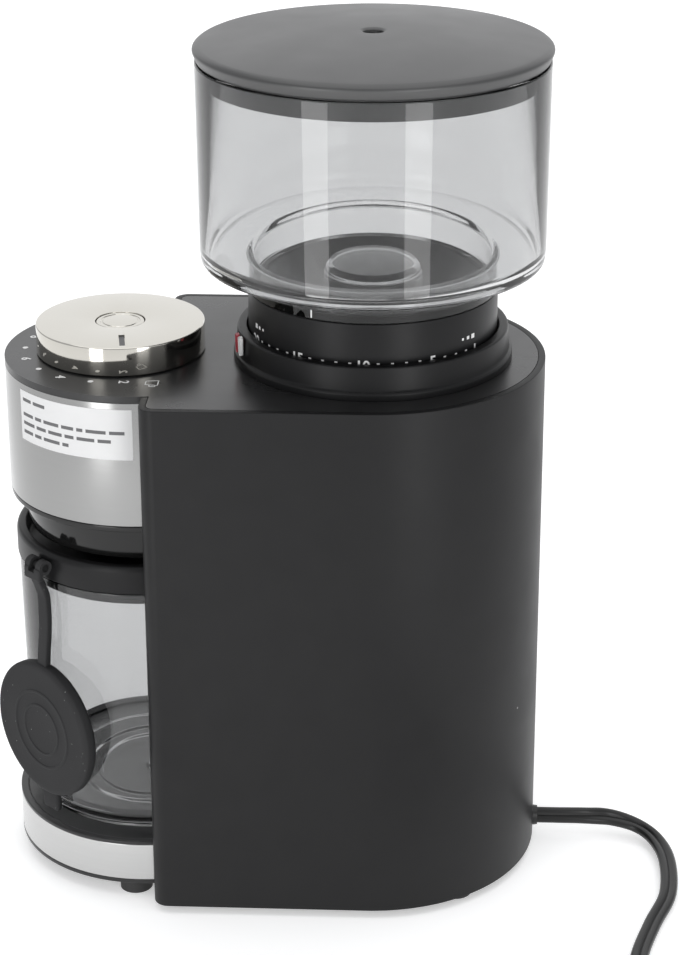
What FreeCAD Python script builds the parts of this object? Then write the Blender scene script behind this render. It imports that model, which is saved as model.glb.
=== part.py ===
import FreeCAD, Part
import math
import os
import Sketcher

os.makedirs("parts", exist_ok=True)
doc = FreeCAD.newDocument("CoffeeGrinder")

# Millimetres, +Z up, z = 0 on the worktop. Everything is drawn with the burr axis at x = 0, y = 0 and
# the grounds container on the -Y side. On export all pieces move together along Y by originShift, so
# that the row's origin is on the worktop under the middle of the grinder's bounding box.

# ---------------------------------------------------------------- driving dimensions
sizes = {
    # casing
    "bodyRadius": 57.0, "bodyFront": -71.5, "cornerRadius": 5.0, "bodyBase": 3.0, "bodyTop": 182.0,
    "shellWall": 2.6, "roofUnder": 176.8, "plateSeat": 179.8, "plateInset": 2.3, "plateEdge": 2.4,
    "baseInset": 2.9, "baseUnder": 3.4, "baseOver": 5.2, "frontBaseUnder": 5.0, "frontBaseOver": 7.4,
    # nose drum, chute and platform, all round the container's axis
    "noseY": -77.3, "noseRadius": 44.7, "bandThick": 0.7, "noseInner": 42.2, "noseCut": -50.0,
    "noseBase": 135.0, "noseFloor": 137.6, "noseBandBase": 137.0, "bayRadius": 45.2,
    "bayOuter": 49.6, "seatRadius": 47.2, "seatTop": 21.9,
    "coneTopRadius": 40.6, "coneRadius": 39.0, "coneBase": 123.4, "coneLip": 37.0, "coneCeiling": 131.5,
    "spoutHole": 18.0, "spoutRadius": 14.0, "spoutBore": 12.0, "spoutBase": 126.0,
    "platformRadius": 46.9, "platformBase": 5.3, "platformTop": 21.0, "platformLip": 21.6,
    "lipInner": 44.2, "platformWall": 43.8, "platformUnder": 18.6, "bandBase": 6.8, "bandTop": 20.5,
    # dial
    "knobY": -83.6, "knobRadius": 27.9, "knobBase": 182.4, "knobTop": 192.0, "buttonRadius": 8.0,
    "buttonHole": 8.25, "buttonUnder": 189.0, "spindleRadius": 4.45, "spindleBore": 2.6,
    "spindleBase": 162.0, "spindleTop": 186.0, "stemRadius": 2.2, "stemBase": 160.4,
    "pointerAngle": 9.0, "pointerStart": 14.9, "pointerLength": 10.4, "pointerWidth": 2.0,
    "springFoot": 3.9, "springTip": 2.6,
    # hopper, its ring and its lid
    "ringTop": 193.0, "ringRadius": 44.5, "ringBaseRadius": 47.0, "ringBore": 41.3, "plateHole": 42.0,
    "collarRadius": 40.9, "collarInner": 38.7, "collarBase": 184.0, "collarTop": 206.0,
    "hopperBase": 214.9,
    "hopperRadius": 56.8, "hopperFootRadius": 56.2, "hopperTop": 281.0, "hopperWall": 2.0,
    "throatRadius": 17.0, "throatBore": 15.0, "throatBase": 187.0,
    "lidRadius": 57.6, "lidBase": 281.4, "lidRim": 285.8, "lidCrown": 290.0, "skirtRadius": 54.4,
    "skirtBase": 274.6, "guardRadius": 16.4, "guardBase": 189.0, "guardTop": 208.0, "windowBase": 195.0,
    # burrs and the grinding chamber
    "chamberBase": 139.0, "chamberFloor": 142.0, "chamberRadius": 36.0, "chamberBore": 33.5,
    "shaftRadius": 4.0, "shaftBase": 77.0, "shaftTop": 179.0, "runningGap": 0.05,
    # drive
    "motorY": 26.0, "motorRadius": 24.0, "motorBase": 16.0, "motorTop": 72.0, "motorShaftRadius": 2.5,
    "deckUnder": 76.0, "deckOver": 79.0, "coverUnder": 101.0, "coverOver": 104.0,
    "deckInset": 3.2, "deckBay": 49.9,
    # container
    "jarRadius": 43.1, "jarFootRadius": 37.0, "jarBase": 21.8, "jarRim": 112.1, "jarWall": 1.8,
    "jarLidRadius": 43.6, "jarLidTop": 122.0, "jarLidHole": 21.0,
    # plug of the container lid
    "discRadius": 24.0, "discThick": 5.1, "discCentre": 57.5, "discBack": 43.4, "plugAngle": -43.0,
    "pivotHeight": 118.0, "pivotReach": 46.3, "pivotPin": 1.3, "pivotBore": 1.4, "pivotEar": 2.5,
    "strapWidth": 4.6, "strapThick": 2.4, "strapBack": 45.1,
    # feet and cord
    "footRadius": 5.5, "cordRadius": 2.5, "cordExit": 8.2, "reliefRoot": 54.3, "reliefEnd": 58.6,
    "coilX": 146.0, "coilY": 66.0, "coilOuter": 40.0, "coilInner": 26.0, "coilHeight": 11.0,
    "plugX": 179.0,
    # from the burr axis to the middle of the bounding box
    "originShift": 35.165,
}

sheet = doc.addObject("Spreadsheet::Sheet", "Sizes")
for row, (alias, size) in enumerate(sizes.items(), start=1):
    sheet.set(f"A{row}", alias)
    sheet.set(f"B{row}", str(size))
    sheet.setAlias(f"B{row}", alias)
doc.recompute()

subparts = []


# ---------------------------------------------------------------- helpers
def terms(rule):
    """A rule is numbers and size names joined by + and -, such as 'bodyRadius - shellWall'."""
    return str(rule).split()


def bound(rule):
    return " ".join(f"Sizes.{term}" if term in sizes else term for term in terms(rule))


def number(rule):
    total = 0.0
    sign = 1.0
    for term in terms(rule):
        if term in "+-":
            sign = 1.0 if term == "+" else -1.0
        else:
            total += sign * (sizes[term] if term in sizes else float(term))
    return total


def place(shape, x=0, y=0, z=0):
    for axis, rule in (("x", x), ("y", y), ("z", z)):
        shape.setExpression(f"Placement.Base.{axis}", bound(rule))
    return shape


def cylinder(name, radius, bottom, top, x=0, y=0):
    made = doc.addObject("Part::Cylinder", name)
    made.setExpression("Radius", bound(radius))
    made.setExpression("Height", f"({bound(top)}) - ({bound(bottom)})")
    return place(made, x, y, bottom)


def box(name, west, east, south, north, bottom, top):
    made = doc.addObject("Part::Box", name)
    made.setExpression("Length", f"({bound(east)}) - ({bound(west)})")
    made.setExpression("Width", f"({bound(north)}) - ({bound(south)})")
    made.setExpression("Height", f"({bound(top)}) - ({bound(bottom)})")
    return place(made, west, south, bottom)


def fuse(name, shapes):
    made = doc.addObject("Part::MultiFuse", name)
    made.Shapes = shapes
    made.Refine = True
    return made


def cut(name, base, tools):
    made = doc.addObject("Part::Cut", name)
    made.Base = base
    made.Tool = tools[0] if len(tools) == 1 else fuse(name + "Tools", tools)
    made.Refine = True
    return made


def common(name, first, second):
    made = doc.addObject("Part::Common", name)
    made.Base = first
    made.Tool = second
    return made


def compound(name, shapes):
    made = doc.addObject("Part::Compound", name)
    made.Links = shapes
    return made


def node(shape, label):
    shape.Label = label
    subparts.append(shape)
    return shape


def planeOf(body, role):
    return next(feature for feature in body.Origin.OriginFeatures if feature.Role == role)


def outlineSketch(body, name, plane, corners):
    """A closed outline whose every corner is bound to the sheet."""
    sketch = body.newObject("Sketcher::SketchObject", name)
    sketch.AttachmentSupport = [(planeOf(body, plane), "")]
    sketch.MapMode = "FlatFace"
    points = [FreeCAD.Vector(number(across), number(up), 0) for across, up in corners]
    for index, point in enumerate(points):
        sketch.addGeometry(Part.LineSegment(point, points[(index + 1) % len(points)]), False)
    for index, (across, up) in enumerate(corners):
        before = (index - 1) % len(corners)
        sketch.addConstraint(Sketcher.Constraint("Coincident", before, 2, index, 1))
        for kind, rule in (("DistanceX", across), ("DistanceY", up)):
            if number(rule) == 0:
                line = -2 if kind == "DistanceX" else -1
                sketch.addConstraint(Sketcher.Constraint("PointOnObject", index, 1, line))
            else:
                made = sketch.addConstraint(Sketcher.Constraint(kind, -1, 1, index, 1, number(rule)))
                sketch.setExpression(f"Constraints[{made}]", bound(rule))
    return sketch


def turned(name, corners, x=0, y=0):
    """A body turned about the vertical line through x, y from (radius, height) corners."""
    body = doc.addObject("PartDesign::Body", name)
    sketch = outlineSketch(body, name + "Outline", "XZ_Plane", corners)
    spin = body.newObject("PartDesign::Revolution", name + "Turn")
    spin.Profile = sketch
    spin.ReferenceAxis = (sketch, ["V_Axis"])
    spin.Angle = 360
    body.Tip = spin
    return place(body, x, y, 0)


def padded(name, plane, corners, width, x=0, y=0, z=0):
    """A body padded both ways from its plane."""
    body = doc.addObject("PartDesign::Body", name)
    sketch = outlineSketch(body, name + "Outline", plane, corners)
    pad = body.newObject("PartDesign::Pad", name + "Pad")
    pad.Profile = sketch
    pad.Midplane = True
    pad.setExpression("Length", bound(width))
    body.Tip = pad
    return place(body, x, y, z)


def casingPrism(name, inset, bottom, top):
    """The casing's outline, round at the back and square with rounded corners at the front."""
    side = f"bodyRadius - {inset}"
    front = f"bodyFront + {inset}"
    cornerX = "bodyRadius - cornerRadius"
    cornerY = "bodyFront + cornerRadius"
    corner = f"cornerRadius - {inset}"
    pieces = [
        cylinder(name + "Back", side, bottom, top),
        box(name + "Wide", f"0 - bodyRadius + {inset}", side, cornerY, 0, bottom, top),
        box(name + "Deep", "0 - bodyRadius + cornerRadius", cornerX, front, 0, bottom, top),
        cylinder(name + "CornerA", corner, bottom, top, cornerX, cornerY),
        cylinder(name + "CornerB", corner, bottom, top, "0 - bodyRadius + cornerRadius", cornerY),
    ]
    return fuse(name, pieces)


def ringOf(name, outer, inner, bottom, top, x=0, y=0):
    return cut(name, cylinder(name + "Rim", outer, bottom, top, x, y),
               [cylinder(name + "Hole", inner, f"{bottom} - 1", f"{top} + 1", x, y)])


# ---------------------------------------------------------------- casing
rearFoot = (38.0, 30.0)
frontFoot = (39.0, -79.4)
feet = [(sign * x, y) for x, y in (rearFoot, frontFoot) for sign in (1, -1)]


def makeHousing():
    shell = cut("housingShell", casingPrism("housingOuter", 0, "bodyBase", "bodyTop"), [
        casingPrism("housingInner", "shellWall", "bodyBase - 1", "roofUnder"),
        casingPrism("housingRecess", "plateInset", "plateSeat", "bodyTop + 1"),
        cylinder("housingMouth", "plateHole", "roofUnder - 1", "bodyTop + 1"),
    ])
    bayBlock = common("bayBlock", casingPrism("bayOutline", 0, "baseOver + 0.1", "noseFloor"),
                      cylinder("bayRound", "bayOuter", "baseOver + 0.1", "noseFloor", 0, "noseY"))
    bosses = [cylinder(f"rearBoss{i}", 4.5, 5.4, 20, x, y) for i, (x, y) in enumerate(feet[:2])]
    whole = fuse("housingWhole", [shell, bayBlock] + bosses)
    made = cut("housing", whole, [
        cylinder("platformSeat", "seatRadius", "bodyBase - 1", "seatTop", 0, "noseY"),
        cylinder("bayHollow", "bayRadius", "seatTop - 1", "bodyTop + 1", 0, "noseY"),
        cylinder("reliefHole", 4.0, 0, 12),
    ] + [cylinder(f"rearPilot{i}", 1.5, 0, 16, x, y) for i, (x, y) in enumerate(feet[:2])])
    hole = doc.getObject("reliefHole")
    hole.Placement = FreeCAD.Placement(FreeCAD.Vector(0, 50, sizes["cordExit"]),
                                       FreeCAD.Rotation(FreeCAD.Vector(1, 0, 0), -90))
    hole.setExpression("Placement.Base.x", None)
    hole.setExpression("Placement.Base.y", None)
    hole.setExpression("Placement.Base.z", "Sizes.cordExit")
    node(made, "housing")


def makeTopPlate():
    drum = cylinder("plateDrum", "noseRadius", "plateSeat", "bodyTop", 0, "noseY")
    field = casingPrism("plateField", "plateEdge", "plateSeat", "bodyTop")
    node(cut("topPlate", fuse("plateWhole", [drum, field]), [
        cylinder("plateMouth", "plateHole", "plateSeat - 1", "bodyTop + 1"),
        cylinder("plateSpindleHole", "spindleRadius + 0.35", "plateSeat - 1", "bodyTop + 1", 0, "knobY"),
    ]), "top_plate")


def makeNose():
    bandInner = "noseRadius - bandThick"
    drum = turned("noseDrum", [
        (20, "noseBase"), ("noseRadius - 0.1", "noseBase"), ("noseRadius - 0.1", "noseBandBase"),
        (bandInner, "noseBandBase"), (bandInner, "plateSeat"), ("noseInner", "plateSeat"),
        ("noseInner", "noseFloor"), (20, "noseFloor")], 0, "noseY")
    node(cut("noseShell", drum, [
        box("noseBack", -60, 60, "noseCut", 0, "noseFloor", "bodyTop")]), "nose_shell")
    band = ringOf("noseBandRing", "noseRadius", "noseRadius - bandThick + 0.02", "noseBandBase + 0.1",
                  "plateSeat - 0.1", 0, "noseY")
    node(cut("noseBand", band, [box("bandBack", -60, 60, "noseCut", 0, "noseBase", "bodyTop")]), "nose_band")
    node(turned("chuteCone", [
        ("spoutHole", "noseBase - 0.1"), ("coneTopRadius", "noseBase - 0.1"), ("coneRadius", "coneBase"),
        ("coneLip", "coneBase"), ("coneLip - 0.5", "coneCeiling"), ("spoutHole", "coneCeiling")],
        0, "noseY"), "chute_cone")


def makePlatform():
    drum = turned("platformDrum", [
        (0, "platformUnder"), ("platformWall", "platformUnder"), ("platformWall", "platformBase"),
        ("platformRadius", "platformBase"), ("platformRadius", "bandBase"),
        ("platformRadius - bandThick", "bandBase"), ("platformRadius - bandThick", "bandTop"),
        ("platformRadius", "bandTop"), ("platformRadius", "platformLip"),
        ("lipInner + 0.2", "platformLip"), ("lipInner", "platformTop"), (0, "platformTop")], 0, "noseY")
    bosses = [cylinder(f"frontBoss{i}", 4, "frontBaseOver + 0.1", "platformUnder + 1", x, y)
              for i, (x, y) in enumerate(feet[2:])]
    pilots = [cylinder(f"frontPilot{i}", 1.5, "frontBaseOver", 17, x, y)
              for i, (x, y) in enumerate(feet[2:])]
    node(cut("platform", fuse("platformWhole", [drum] + bosses), pilots), "container_platform")
    node(ringOf("platformBand", "platformRadius", "platformRadius - bandThick + 0.02", "bandBase + 0.1",
                "bandTop - 0.1", 0, "noseY"), "platform_band")


def makeBase():
    plate = fuse("basePlateWhole", [
        casingPrism("baseField", "baseInset", "baseUnder", "baseOver"),
        cylinder("baseDisc", "platformWall - 0.2", "frontBaseUnder", "frontBaseOver", 0, "noseY")])
    node(cut("basePlate", plate, [cylinder(f"baseHole{i}", 1.8, 0, 9, x, y)
                                  for i, (x, y) in enumerate(feet)]), "base_plate")
    pads = []
    screws = []
    for i, (x, y) in enumerate(feet):
        under = "baseUnder" if i < 2 else "frontBaseUnder"
        length = 9 if i < 2 else 7.4
        pads.append(cut(f"footPad{i}", cylinder(f"footRubber{i}", "footRadius", 0, under, x, y), [
            cylinder(f"footRecess{i}", 3.4, -1, 2, x, y), cylinder(f"footHole{i}", 1.8, 0, 6, x, y)]))
        screws.append(fuse(f"footScrew{i}", [
            cylinder(f"footHead{i}", 3, 0.5, 1.9, x, y),
            cylinder(f"footShank{i}", 1.4, 1, f"{under} + {length}", x, y)]))
    node(compound("footPads", pads), "foot_pads")
    node(compound("footScrews", screws), "foot_screws")


# ---------------------------------------------------------------- dial and start button
def makeDial():
    knob = turned("knobTurned", [
        ("spindleRadius + 0.05", 183), ("spindleRadius + 0.05", 186.5), ("buttonHole", 186.5),
        ("buttonHole", "knobTop"), ("knobRadius - 0.7", "knobTop"), ("knobRadius", "knobTop - 0.7"),
        ("knobRadius", "knobBase"), ("knobRadius - 1.7", "knobBase"), ("knobRadius - 1.7", 189.5),
        (10.5, 189.5), (10.5, 183)], 0, "knobY")
    slot = doc.addObject("Part::Box", "pointerSlot")
    slot.Length = sizes["pointerLength"]
    slot.Width = sizes["pointerWidth"]
    slot.Height = 2
    turn = FreeCAD.Rotation(FreeCAD.Vector(0, 0, 1), sizes["pointerAngle"])
    start = turn.multVec(FreeCAD.Vector(sizes["pointerStart"], -sizes["pointerWidth"] / 2, 0))
    slot.Placement = FreeCAD.Placement(
        FreeCAD.Vector(start.x, sizes["knobY"] + start.y, sizes["knobTop"] - 0.6), turn)
    node(cut("dialKnob", knob, [slot]), "dial_knob")
    node(ringOf("dialSpindle", "spindleRadius", "spindleBore", "spindleBase", "spindleTop", 0, "knobY"),
         "dial_spindle")
    node(fuse("startButton", [
        cylinder("buttonCap", "buttonRadius", "buttonUnder", "knobTop - 0.2", 0, "knobY"),
        cylinder("buttonStem", "stemRadius", "stemBase", "buttonUnder + 1", 0, "knobY")]), "start_button")
    node(turned("buttonSpring", [
        ("springFoot", "spindleTop + 0.1"), ("springFoot + 0.4", "spindleTop + 0.1"),
        ("springTip + 0.4", "buttonUnder - 0.2"), ("springTip", "buttonUnder - 0.2")], 0, "knobY"),
        "button_spring")
    node(cut("timerModule", box("timerBlock", -14, 14, "knobY - 14", "knobY + 14", 164, 175), [
        cylinder("timerBore", "spindleRadius + 0.3", 160, 180, 0, "knobY")]), "timer_module")
    node(box("startSwitch", -4, 4, "knobY - 4", "knobY + 4", 157.7, 158.8), "start_switch")
    node(box("controlBoard", -26, 26, -108, -52, 156, 157.6), "control_board")
    node(compound("boardPosts", [cylinder(f"boardPost{i}", 3, 137.7, 155.9, x, y)
                                 for i, (x, y) in enumerate([(22, -104), (-22, -104), (22, -57), (-22, -57)])]),
         "board_posts")


# ---------------------------------------------------------------- hopper, ring and lid
def makeHopper():
    node(turned("hopperRing", [
        ("ringBore", "bodyTop"), ("ringBaseRadius", "bodyTop"), ("ringBaseRadius", 184.6),
        ("ringRadius + 0.4", 185.2), ("ringRadius", "ringTop - 0.6"), ("ringRadius - 0.6", "ringTop"),
        ("ringBore", "ringTop")]), "hopper_ring")
    marks = []
    for label, angle in (("index_mark_red", -72.0), ("index_mark_white", -67.5)):
        mark = doc.addObject("Part::Box", label.replace("_", ""))
        mark.Length = 1.2
        mark.Width = 2.8
        mark.Height = 5.5
        turn = FreeCAD.Rotation(FreeCAD.Vector(0, 0, 1), angle)
        start = turn.multVec(FreeCAD.Vector(sizes["ringRadius"] + 0.5, -1.4, 0))
        mark.Placement = FreeCAD.Placement(FreeCAD.Vector(start.x, start.y, 187.0), turn)
        marks.append(node(mark, label))
    inner = "hopperRadius - hopperWall"
    node(turned("hopperGlass", [
        ("throatRadius", "throatBase"), ("throatRadius", "throatBase + 3"), (38.3, "collarTop - 1.4"),
        (38.3, "collarTop + 0.1"), ("collarRadius", "collarTop + 0.1"), ("collarRadius", "hopperBase"),
        (54.6, "hopperBase"), ("hopperFootRadius", "hopperBase + 1.8"), ("hopperRadius", "hopperTop"),
        (inner, "hopperTop"), ("hopperFootRadius - hopperWall", "hopperBase + 4"),
        (53, "hopperBase + 2.4"), (38.9, "hopperBase + 2.4"), (38.5, "collarTop + 2.1"),
        ("throatBore", "throatBase + 5"), ("throatBore", "throatBase")]), "hopper")
    node(ringOf("hopperCollar", "collarRadius", "collarInner", "collarBase", "collarTop"), "hopper_collar")
    throat = ringOf("guardTube", 13.8, 12.2, "guardBase", "guardTop")
    windows = []
    for i in range(3):
        window = box(f"guardWindow{i}", 0, 20, -7, 7, "windowBase", "windowBase + 8")
        window.setExpression("Placement.Base.y", None)
        turn = FreeCAD.Rotation(FreeCAD.Vector(0, 0, 1), 120 * i)
        start = turn.multVec(FreeCAD.Vector(0, -7, 0))
        window.setExpression("Placement.Base.x", None)
        window.setExpression("Placement.Base.z", None)
        window.Placement = FreeCAD.Placement(FreeCAD.Vector(start.x, start.y, sizes["windowBase"]), turn)
        windows.append(window)
    node(cut("guardThroat", throat, windows), "guard_throat")
    node(turned("fingerGuard", [
        (0, "guardTop + 0.6"), (14.4, "guardTop + 0.6"), (14.4, "guardTop - 5.5"),
        ("guardRadius", "guardTop - 5.5"), ("guardRadius", "guardTop + 2.5"), (14.8, "guardTop + 4.2"),
        (0, "guardTop + 5")]), "finger_guard")
    node(turned("hopperLid", [
        (3.2, "lidBase + 4"), ("skirtRadius - 2", "lidBase + 2.4"), ("skirtRadius - 2", "skirtBase"),
        ("skirtRadius", "skirtBase"), ("skirtRadius", "lidBase"), ("lidRadius - 1", "lidBase"),
        ("lidRadius", "lidRim - 1"), ("lidRadius - 0.6", "lidRim + 0.4"), (40, 288.4), (20, 289.7),
        (3.2, "lidCrown")]), "hopper_lid")


# ---------------------------------------------------------------- burrs and chamber
def makeBurrs():
    cup = turned("chamberCup", [
        (7, "chamberBase"), ("chamberRadius", "chamberBase"), ("chamberRadius", "roofUnder - 0.1"),
        ("chamberBore", "roofUnder - 0.1"), ("chamberBore", "chamberFloor"), (7, "chamberFloor")])
    node(cut("chamber", cup, [box("chamberPort", -9, 9, -40, -28, "chamberFloor", 152)]), "grinding_chamber")
    outer = padded("chuteOuter", "YZ_Plane", [(-36.1, 140.2), (-36.1, 154.5), (-92, 152.5), (-92, 138.2)], 22)
    inner = padded("chuteInner", "YZ_Plane", [(-35, 142.2), (-35, 152.5), (-90, 150.5), (-90, 140.4)], 18)
    spout = cylinder("spoutTube", "spoutRadius", "spoutBase", 141, 0, "noseY")
    bore = cylinder("spoutBoreCut", "spoutBore", "spoutBase - 1", 142, 0, "noseY")
    shellChute = cut("chuteShell", fuse("chuteWhole", [outer, spout]), [inner, bore])
    node(shellChute, "outlet_chute")
    burrCone = turned("coneBurrBody", [
        ("shaftRadius", 152), (22.8, 152), (22.8, 154), (8.5, 174), ("shaftRadius", 174)])
    grooves = []
    for i in range(12):
        groove = doc.addObject("Part::Box", f"coneGroove{i}")
        groove.Length = 30
        groove.Width = 1.6
        groove.Height = 3
        lean = FreeCAD.Rotation(FreeCAD.Vector(0, 1, 0), 54.4)
        turn = FreeCAD.Rotation(FreeCAD.Vector(0, 0, 1), 30 * i)
        start = turn.multVec(FreeCAD.Vector(7.2, -0.8, 175.5))
        groove.Placement = FreeCAD.Placement(start, turn.multiply(lean))
        grooves.append(groove)
    node(cut("coneBurr", burrCone, grooves), "cone_burr")
    node(turned("ringBurr", [(24.4, 155), (27, 155), (27, 172), (19, 172)]), "ring_burr")
    node(turned("burrCarrier", [
        (27.1, 155), (31.5, 155), (31.5, 178.5), (20, 178.5), (20, 174), (27.1, 172.3)]), "burr_carrier")
    node(ringOf("grindRing", 38.2, 24, 184, 186.4), "grind_ring")
    arms = [cylinder("sweeperHub", 9, 143, 150)]
    arms.append(box("sweeperArmX", -32, 32, -1.5, 1.5, 143, 149))
    arms.append(box("sweeperArmY", -1.5, 1.5, -32, 32, 143, 149))
    node(cut("sweeper", fuse("sweeperWhole", arms), [cylinder("sweeperBore", "shaftRadius", 140, 155)]),
         "sweeper")
    node(cylinder("burrShaft", "shaftRadius", "shaftBase", "shaftTop"), "burr_shaft")
    node(ringOf("burrNut", 7, "shaftRadius", 174.1, 178.4), "burr_nut")
    gapBore = "shaftRadius + runningGap"
    node(compound("shaftBushes", [
        ringOf("lowerBush", 6.9, gapBore, "deckUnder", "deckOver + 1"),
        ringOf("middleBush", 6.9, gapBore, "coverUnder", "coverOver"),
        ringOf("upperBush", 6.9, gapBore, "chamberBase", "chamberFloor")]), "shaft_bushes")
    node(box("hopperSwitch", -6, 6, 39, 45, 160, 172), "hopper_switch")


# ---------------------------------------------------------------- gear train and motor
gearModule = 1.0
mainTeeth = 40
wheelTeeth = 36
pinionTeeth = 12
mainToIdler = gearModule * (mainTeeth + pinionTeeth) / 2
idlerToMotor = gearModule * (wheelTeeth + pinionTeeth) / 2


def idlerPlace():
    """The idler's axis lies at its two mesh distances from the burr axis and the motor axis."""
    motorY = sizes["motorY"]
    y = (motorY ** 2 + mainToIdler ** 2 - idlerToMotor ** 2) / (2 * motorY)
    return math.sqrt(mainToIdler ** 2 - y ** 2), y


def gear(name, teeth, bore, bottom, width, x, y, phase):
    """A spur gear with slim straight-flanked teeth; phase is the direction of one tooth."""
    pitch = gearModule * teeth / 2
    root = pitch - 1.2 * gearModule
    tip = pitch + 0.85 * gearModule
    body = doc.addObject("PartDesign::Body", name)
    blank = body.newObject("Sketcher::SketchObject", name + "Blank")
    blank.AttachmentSupport = [(planeOf(body, "XY_Plane"), "")]
    blank.MapMode = "FlatFace"
    for radius in (root, bore):
        circle = blank.addGeometry(Part.Circle(FreeCAD.Vector(0, 0, 0), FreeCAD.Vector(0, 0, 1), radius), False)
        blank.addConstraint(Sketcher.Constraint("Coincident", circle, 3, -1, 1))
        blank.addConstraint(Sketcher.Constraint("Radius", circle, radius))
    disc = body.newObject("PartDesign::Pad", name + "Disc")
    disc.Profile = blank
    disc.Length = width
    tooth = body.newObject("Sketcher::SketchObject", name + "Tooth")
    tooth.AttachmentSupport = [(planeOf(body, "XY_Plane"), "")]
    tooth.MapMode = "FlatFace"
    corners = [(root - 0.4, 0.95), (pitch, 0.66), (tip, 0.36), (tip, -0.36), (pitch, -0.66), (root - 0.4, -0.95)]
    points = [FreeCAD.Vector(a, b, 0) for a, b in corners]
    for index, point in enumerate(points):
        tooth.addGeometry(Part.LineSegment(point, points[(index + 1) % len(points)]), False)
    toothPad = body.newObject("PartDesign::Pad", name + "ToothPad")
    toothPad.Profile = tooth
    toothPad.Length = width
    doc.recompute()
    ring = body.newObject("PartDesign::PolarPattern", name + "Teeth")
    ring.Originals = [toothPad]
    ring.Axis = (blank, ["N_Axis"])
    ring.Angle = 360
    ring.Occurrences = teeth
    body.Tip = ring
    body.Placement = FreeCAD.Placement(FreeCAD.Vector(x, y, bottom),
                                       FreeCAD.Rotation(FreeCAD.Vector(0, 0, 1), phase))
    return body


def makeDrive():
    idlerX, idlerY = idlerPlace()
    motorY = sizes["motorY"]
    toIdler = math.degrees(math.atan2(idlerY, idlerX))
    toMotor = math.degrees(math.atan2(motorY - idlerY, -idlerX))
    halfTooth = 180 / pinionTeeth
    node(gear("mainGear", mainTeeth, sizes["shaftRadius"], 90, 7, 0, 0, toIdler), "main_gear")
    wheel = gear("idlerWheel", wheelTeeth, 2.55, 82, 6.5, idlerX, idlerY, toMotor)
    pinion = gear("idlerPinion", pinionTeeth, 2.55, 88.4, 9.6, idlerX, idlerY, toIdler + 180 + halfTooth)
    node(fuse("idlerGear", [wheel, pinion]), "idler_gear")
    node(gear("motorPinion", pinionTeeth, sizes["motorShaftRadius"], 81.5, 7.5, 0, motorY,
              toMotor + 180 + halfTooth), "motor_pinion")
    node(cylinder("idlerPin", 2.5, "deckUnder", "coverOver", idlerX, idlerY), "idler_pin")
    deckHoles = [cylinder("deckShaftHole", 7, 70, 80), cylinder("deckMotorHole", 8.2, 70, 80, 0, "motorY"),
                 cylinder("deckPinHole", 2.5, 70, 80, idlerX, idlerY),
                 cylinder("deckBay", "deckBay", 70, 80, 0, "noseY")]
    node(cut("gearDeck", casingPrism("deckField", "deckInset", "deckUnder", "deckOver"), deckHoles), "gear_deck")
    coverHoles = [cylinder("coverShaftHole", 7, 100, 105), cylinder("coverPinHole", 2.5, 100, 105, idlerX, idlerY),
                  cylinder("coverBay", "deckBay", 100, 105, 0, "noseY")]
    node(cut("gearCover", casingPrism("coverField", "deckInset", "coverUnder", "coverOver"), coverHoles),
         "gear_cover")
    lowPosts = [(-38, 20), (-34, -18), (34, -18), (30, 40)]
    highPosts = [(22, 22), (-22, 22), (22, -20), (-22, -20)]
    posts = [cylinder(f"lowPost{i}", 3, "deckOver", "coverUnder", x, y) for i, (x, y) in enumerate(lowPosts)]
    posts += [cylinder(f"highPost{i}", 3.5, "coverOver", "chamberBase", x, y) for i, (x, y) in enumerate(highPosts)]
    posts += [cylinder(f"deckLeg{i}", 3.5, "baseOver", "deckUnder", x, y)
              for i, (x, y) in enumerate([(-44, 14), (44, 14), (-34, -18), (34, -18)])]
    node(compound("framePosts", posts), "frame_posts")
    node(turned("motorCan", [
        (8, "motorBase"), ("motorRadius", "motorBase"), ("motorRadius", "motorTop"), (8, "motorTop"),
        (8, "motorTop - 2"), ("motorRadius - 2", "motorTop - 2"), ("motorRadius - 2", "motorBase + 2"),
        (8, "motorBase + 2")], 0, "motorY"), "motor_can")
    magnets = ringOf("magnetRing", "motorRadius - 2.1", 19.4, 28, 62, 0, "motorY")
    node(cut("magnets", magnets, [box("magnetGap", -30, 30, "motorY - 5", "motorY + 5", 20, 70)]),
         "motor_magnets")
    bore = "motorShaftRadius + runningGap"
    node(compound("motorBushes", [
        ringOf("motorBushLow", 7.95, bore, "motorBase", "motorBase + 4", 0, "motorY"),
        ringOf("motorBushHigh", 7.95, bore, "motorTop - 4", "deckOver", 0, "motorY")]), "motor_bushes")
    node(ringOf("rotorCore", 18.8, "motorShaftRadius", 30, 60, 0, "motorY"), "rotor_core")
    node(ringOf("commutator", 6.5, "motorShaftRadius", 21.5, 28, 0, "motorY"), "commutator")
    node(compound("brushes", [box("brushA", 6.9, 14, "motorY - 2", "motorY + 2", 22.5, 27),
                              box("brushB", -14, -6.9, "motorY - 2", "motorY + 2", 22.5, 27)]),
         "motor_brushes")
    node(cylinder("motorShaft", "motorShaftRadius", 14.5, 89.5, 0, "motorY"), "motor_shaft")
    node(box("terminalBlock", -11, 11, 30, 46, "baseOver", 12), "terminal_block")


# ---------------------------------------------------------------- container and its lid
def alongRim(radius, half, x, z):
    """A round bar across the strap, half its length either side of the middle."""
    return Part.makeCylinder(radius, 2 * half, FreeCAD.Vector(x, -half, z), FreeCAD.Vector(0, 1, 0))


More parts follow.
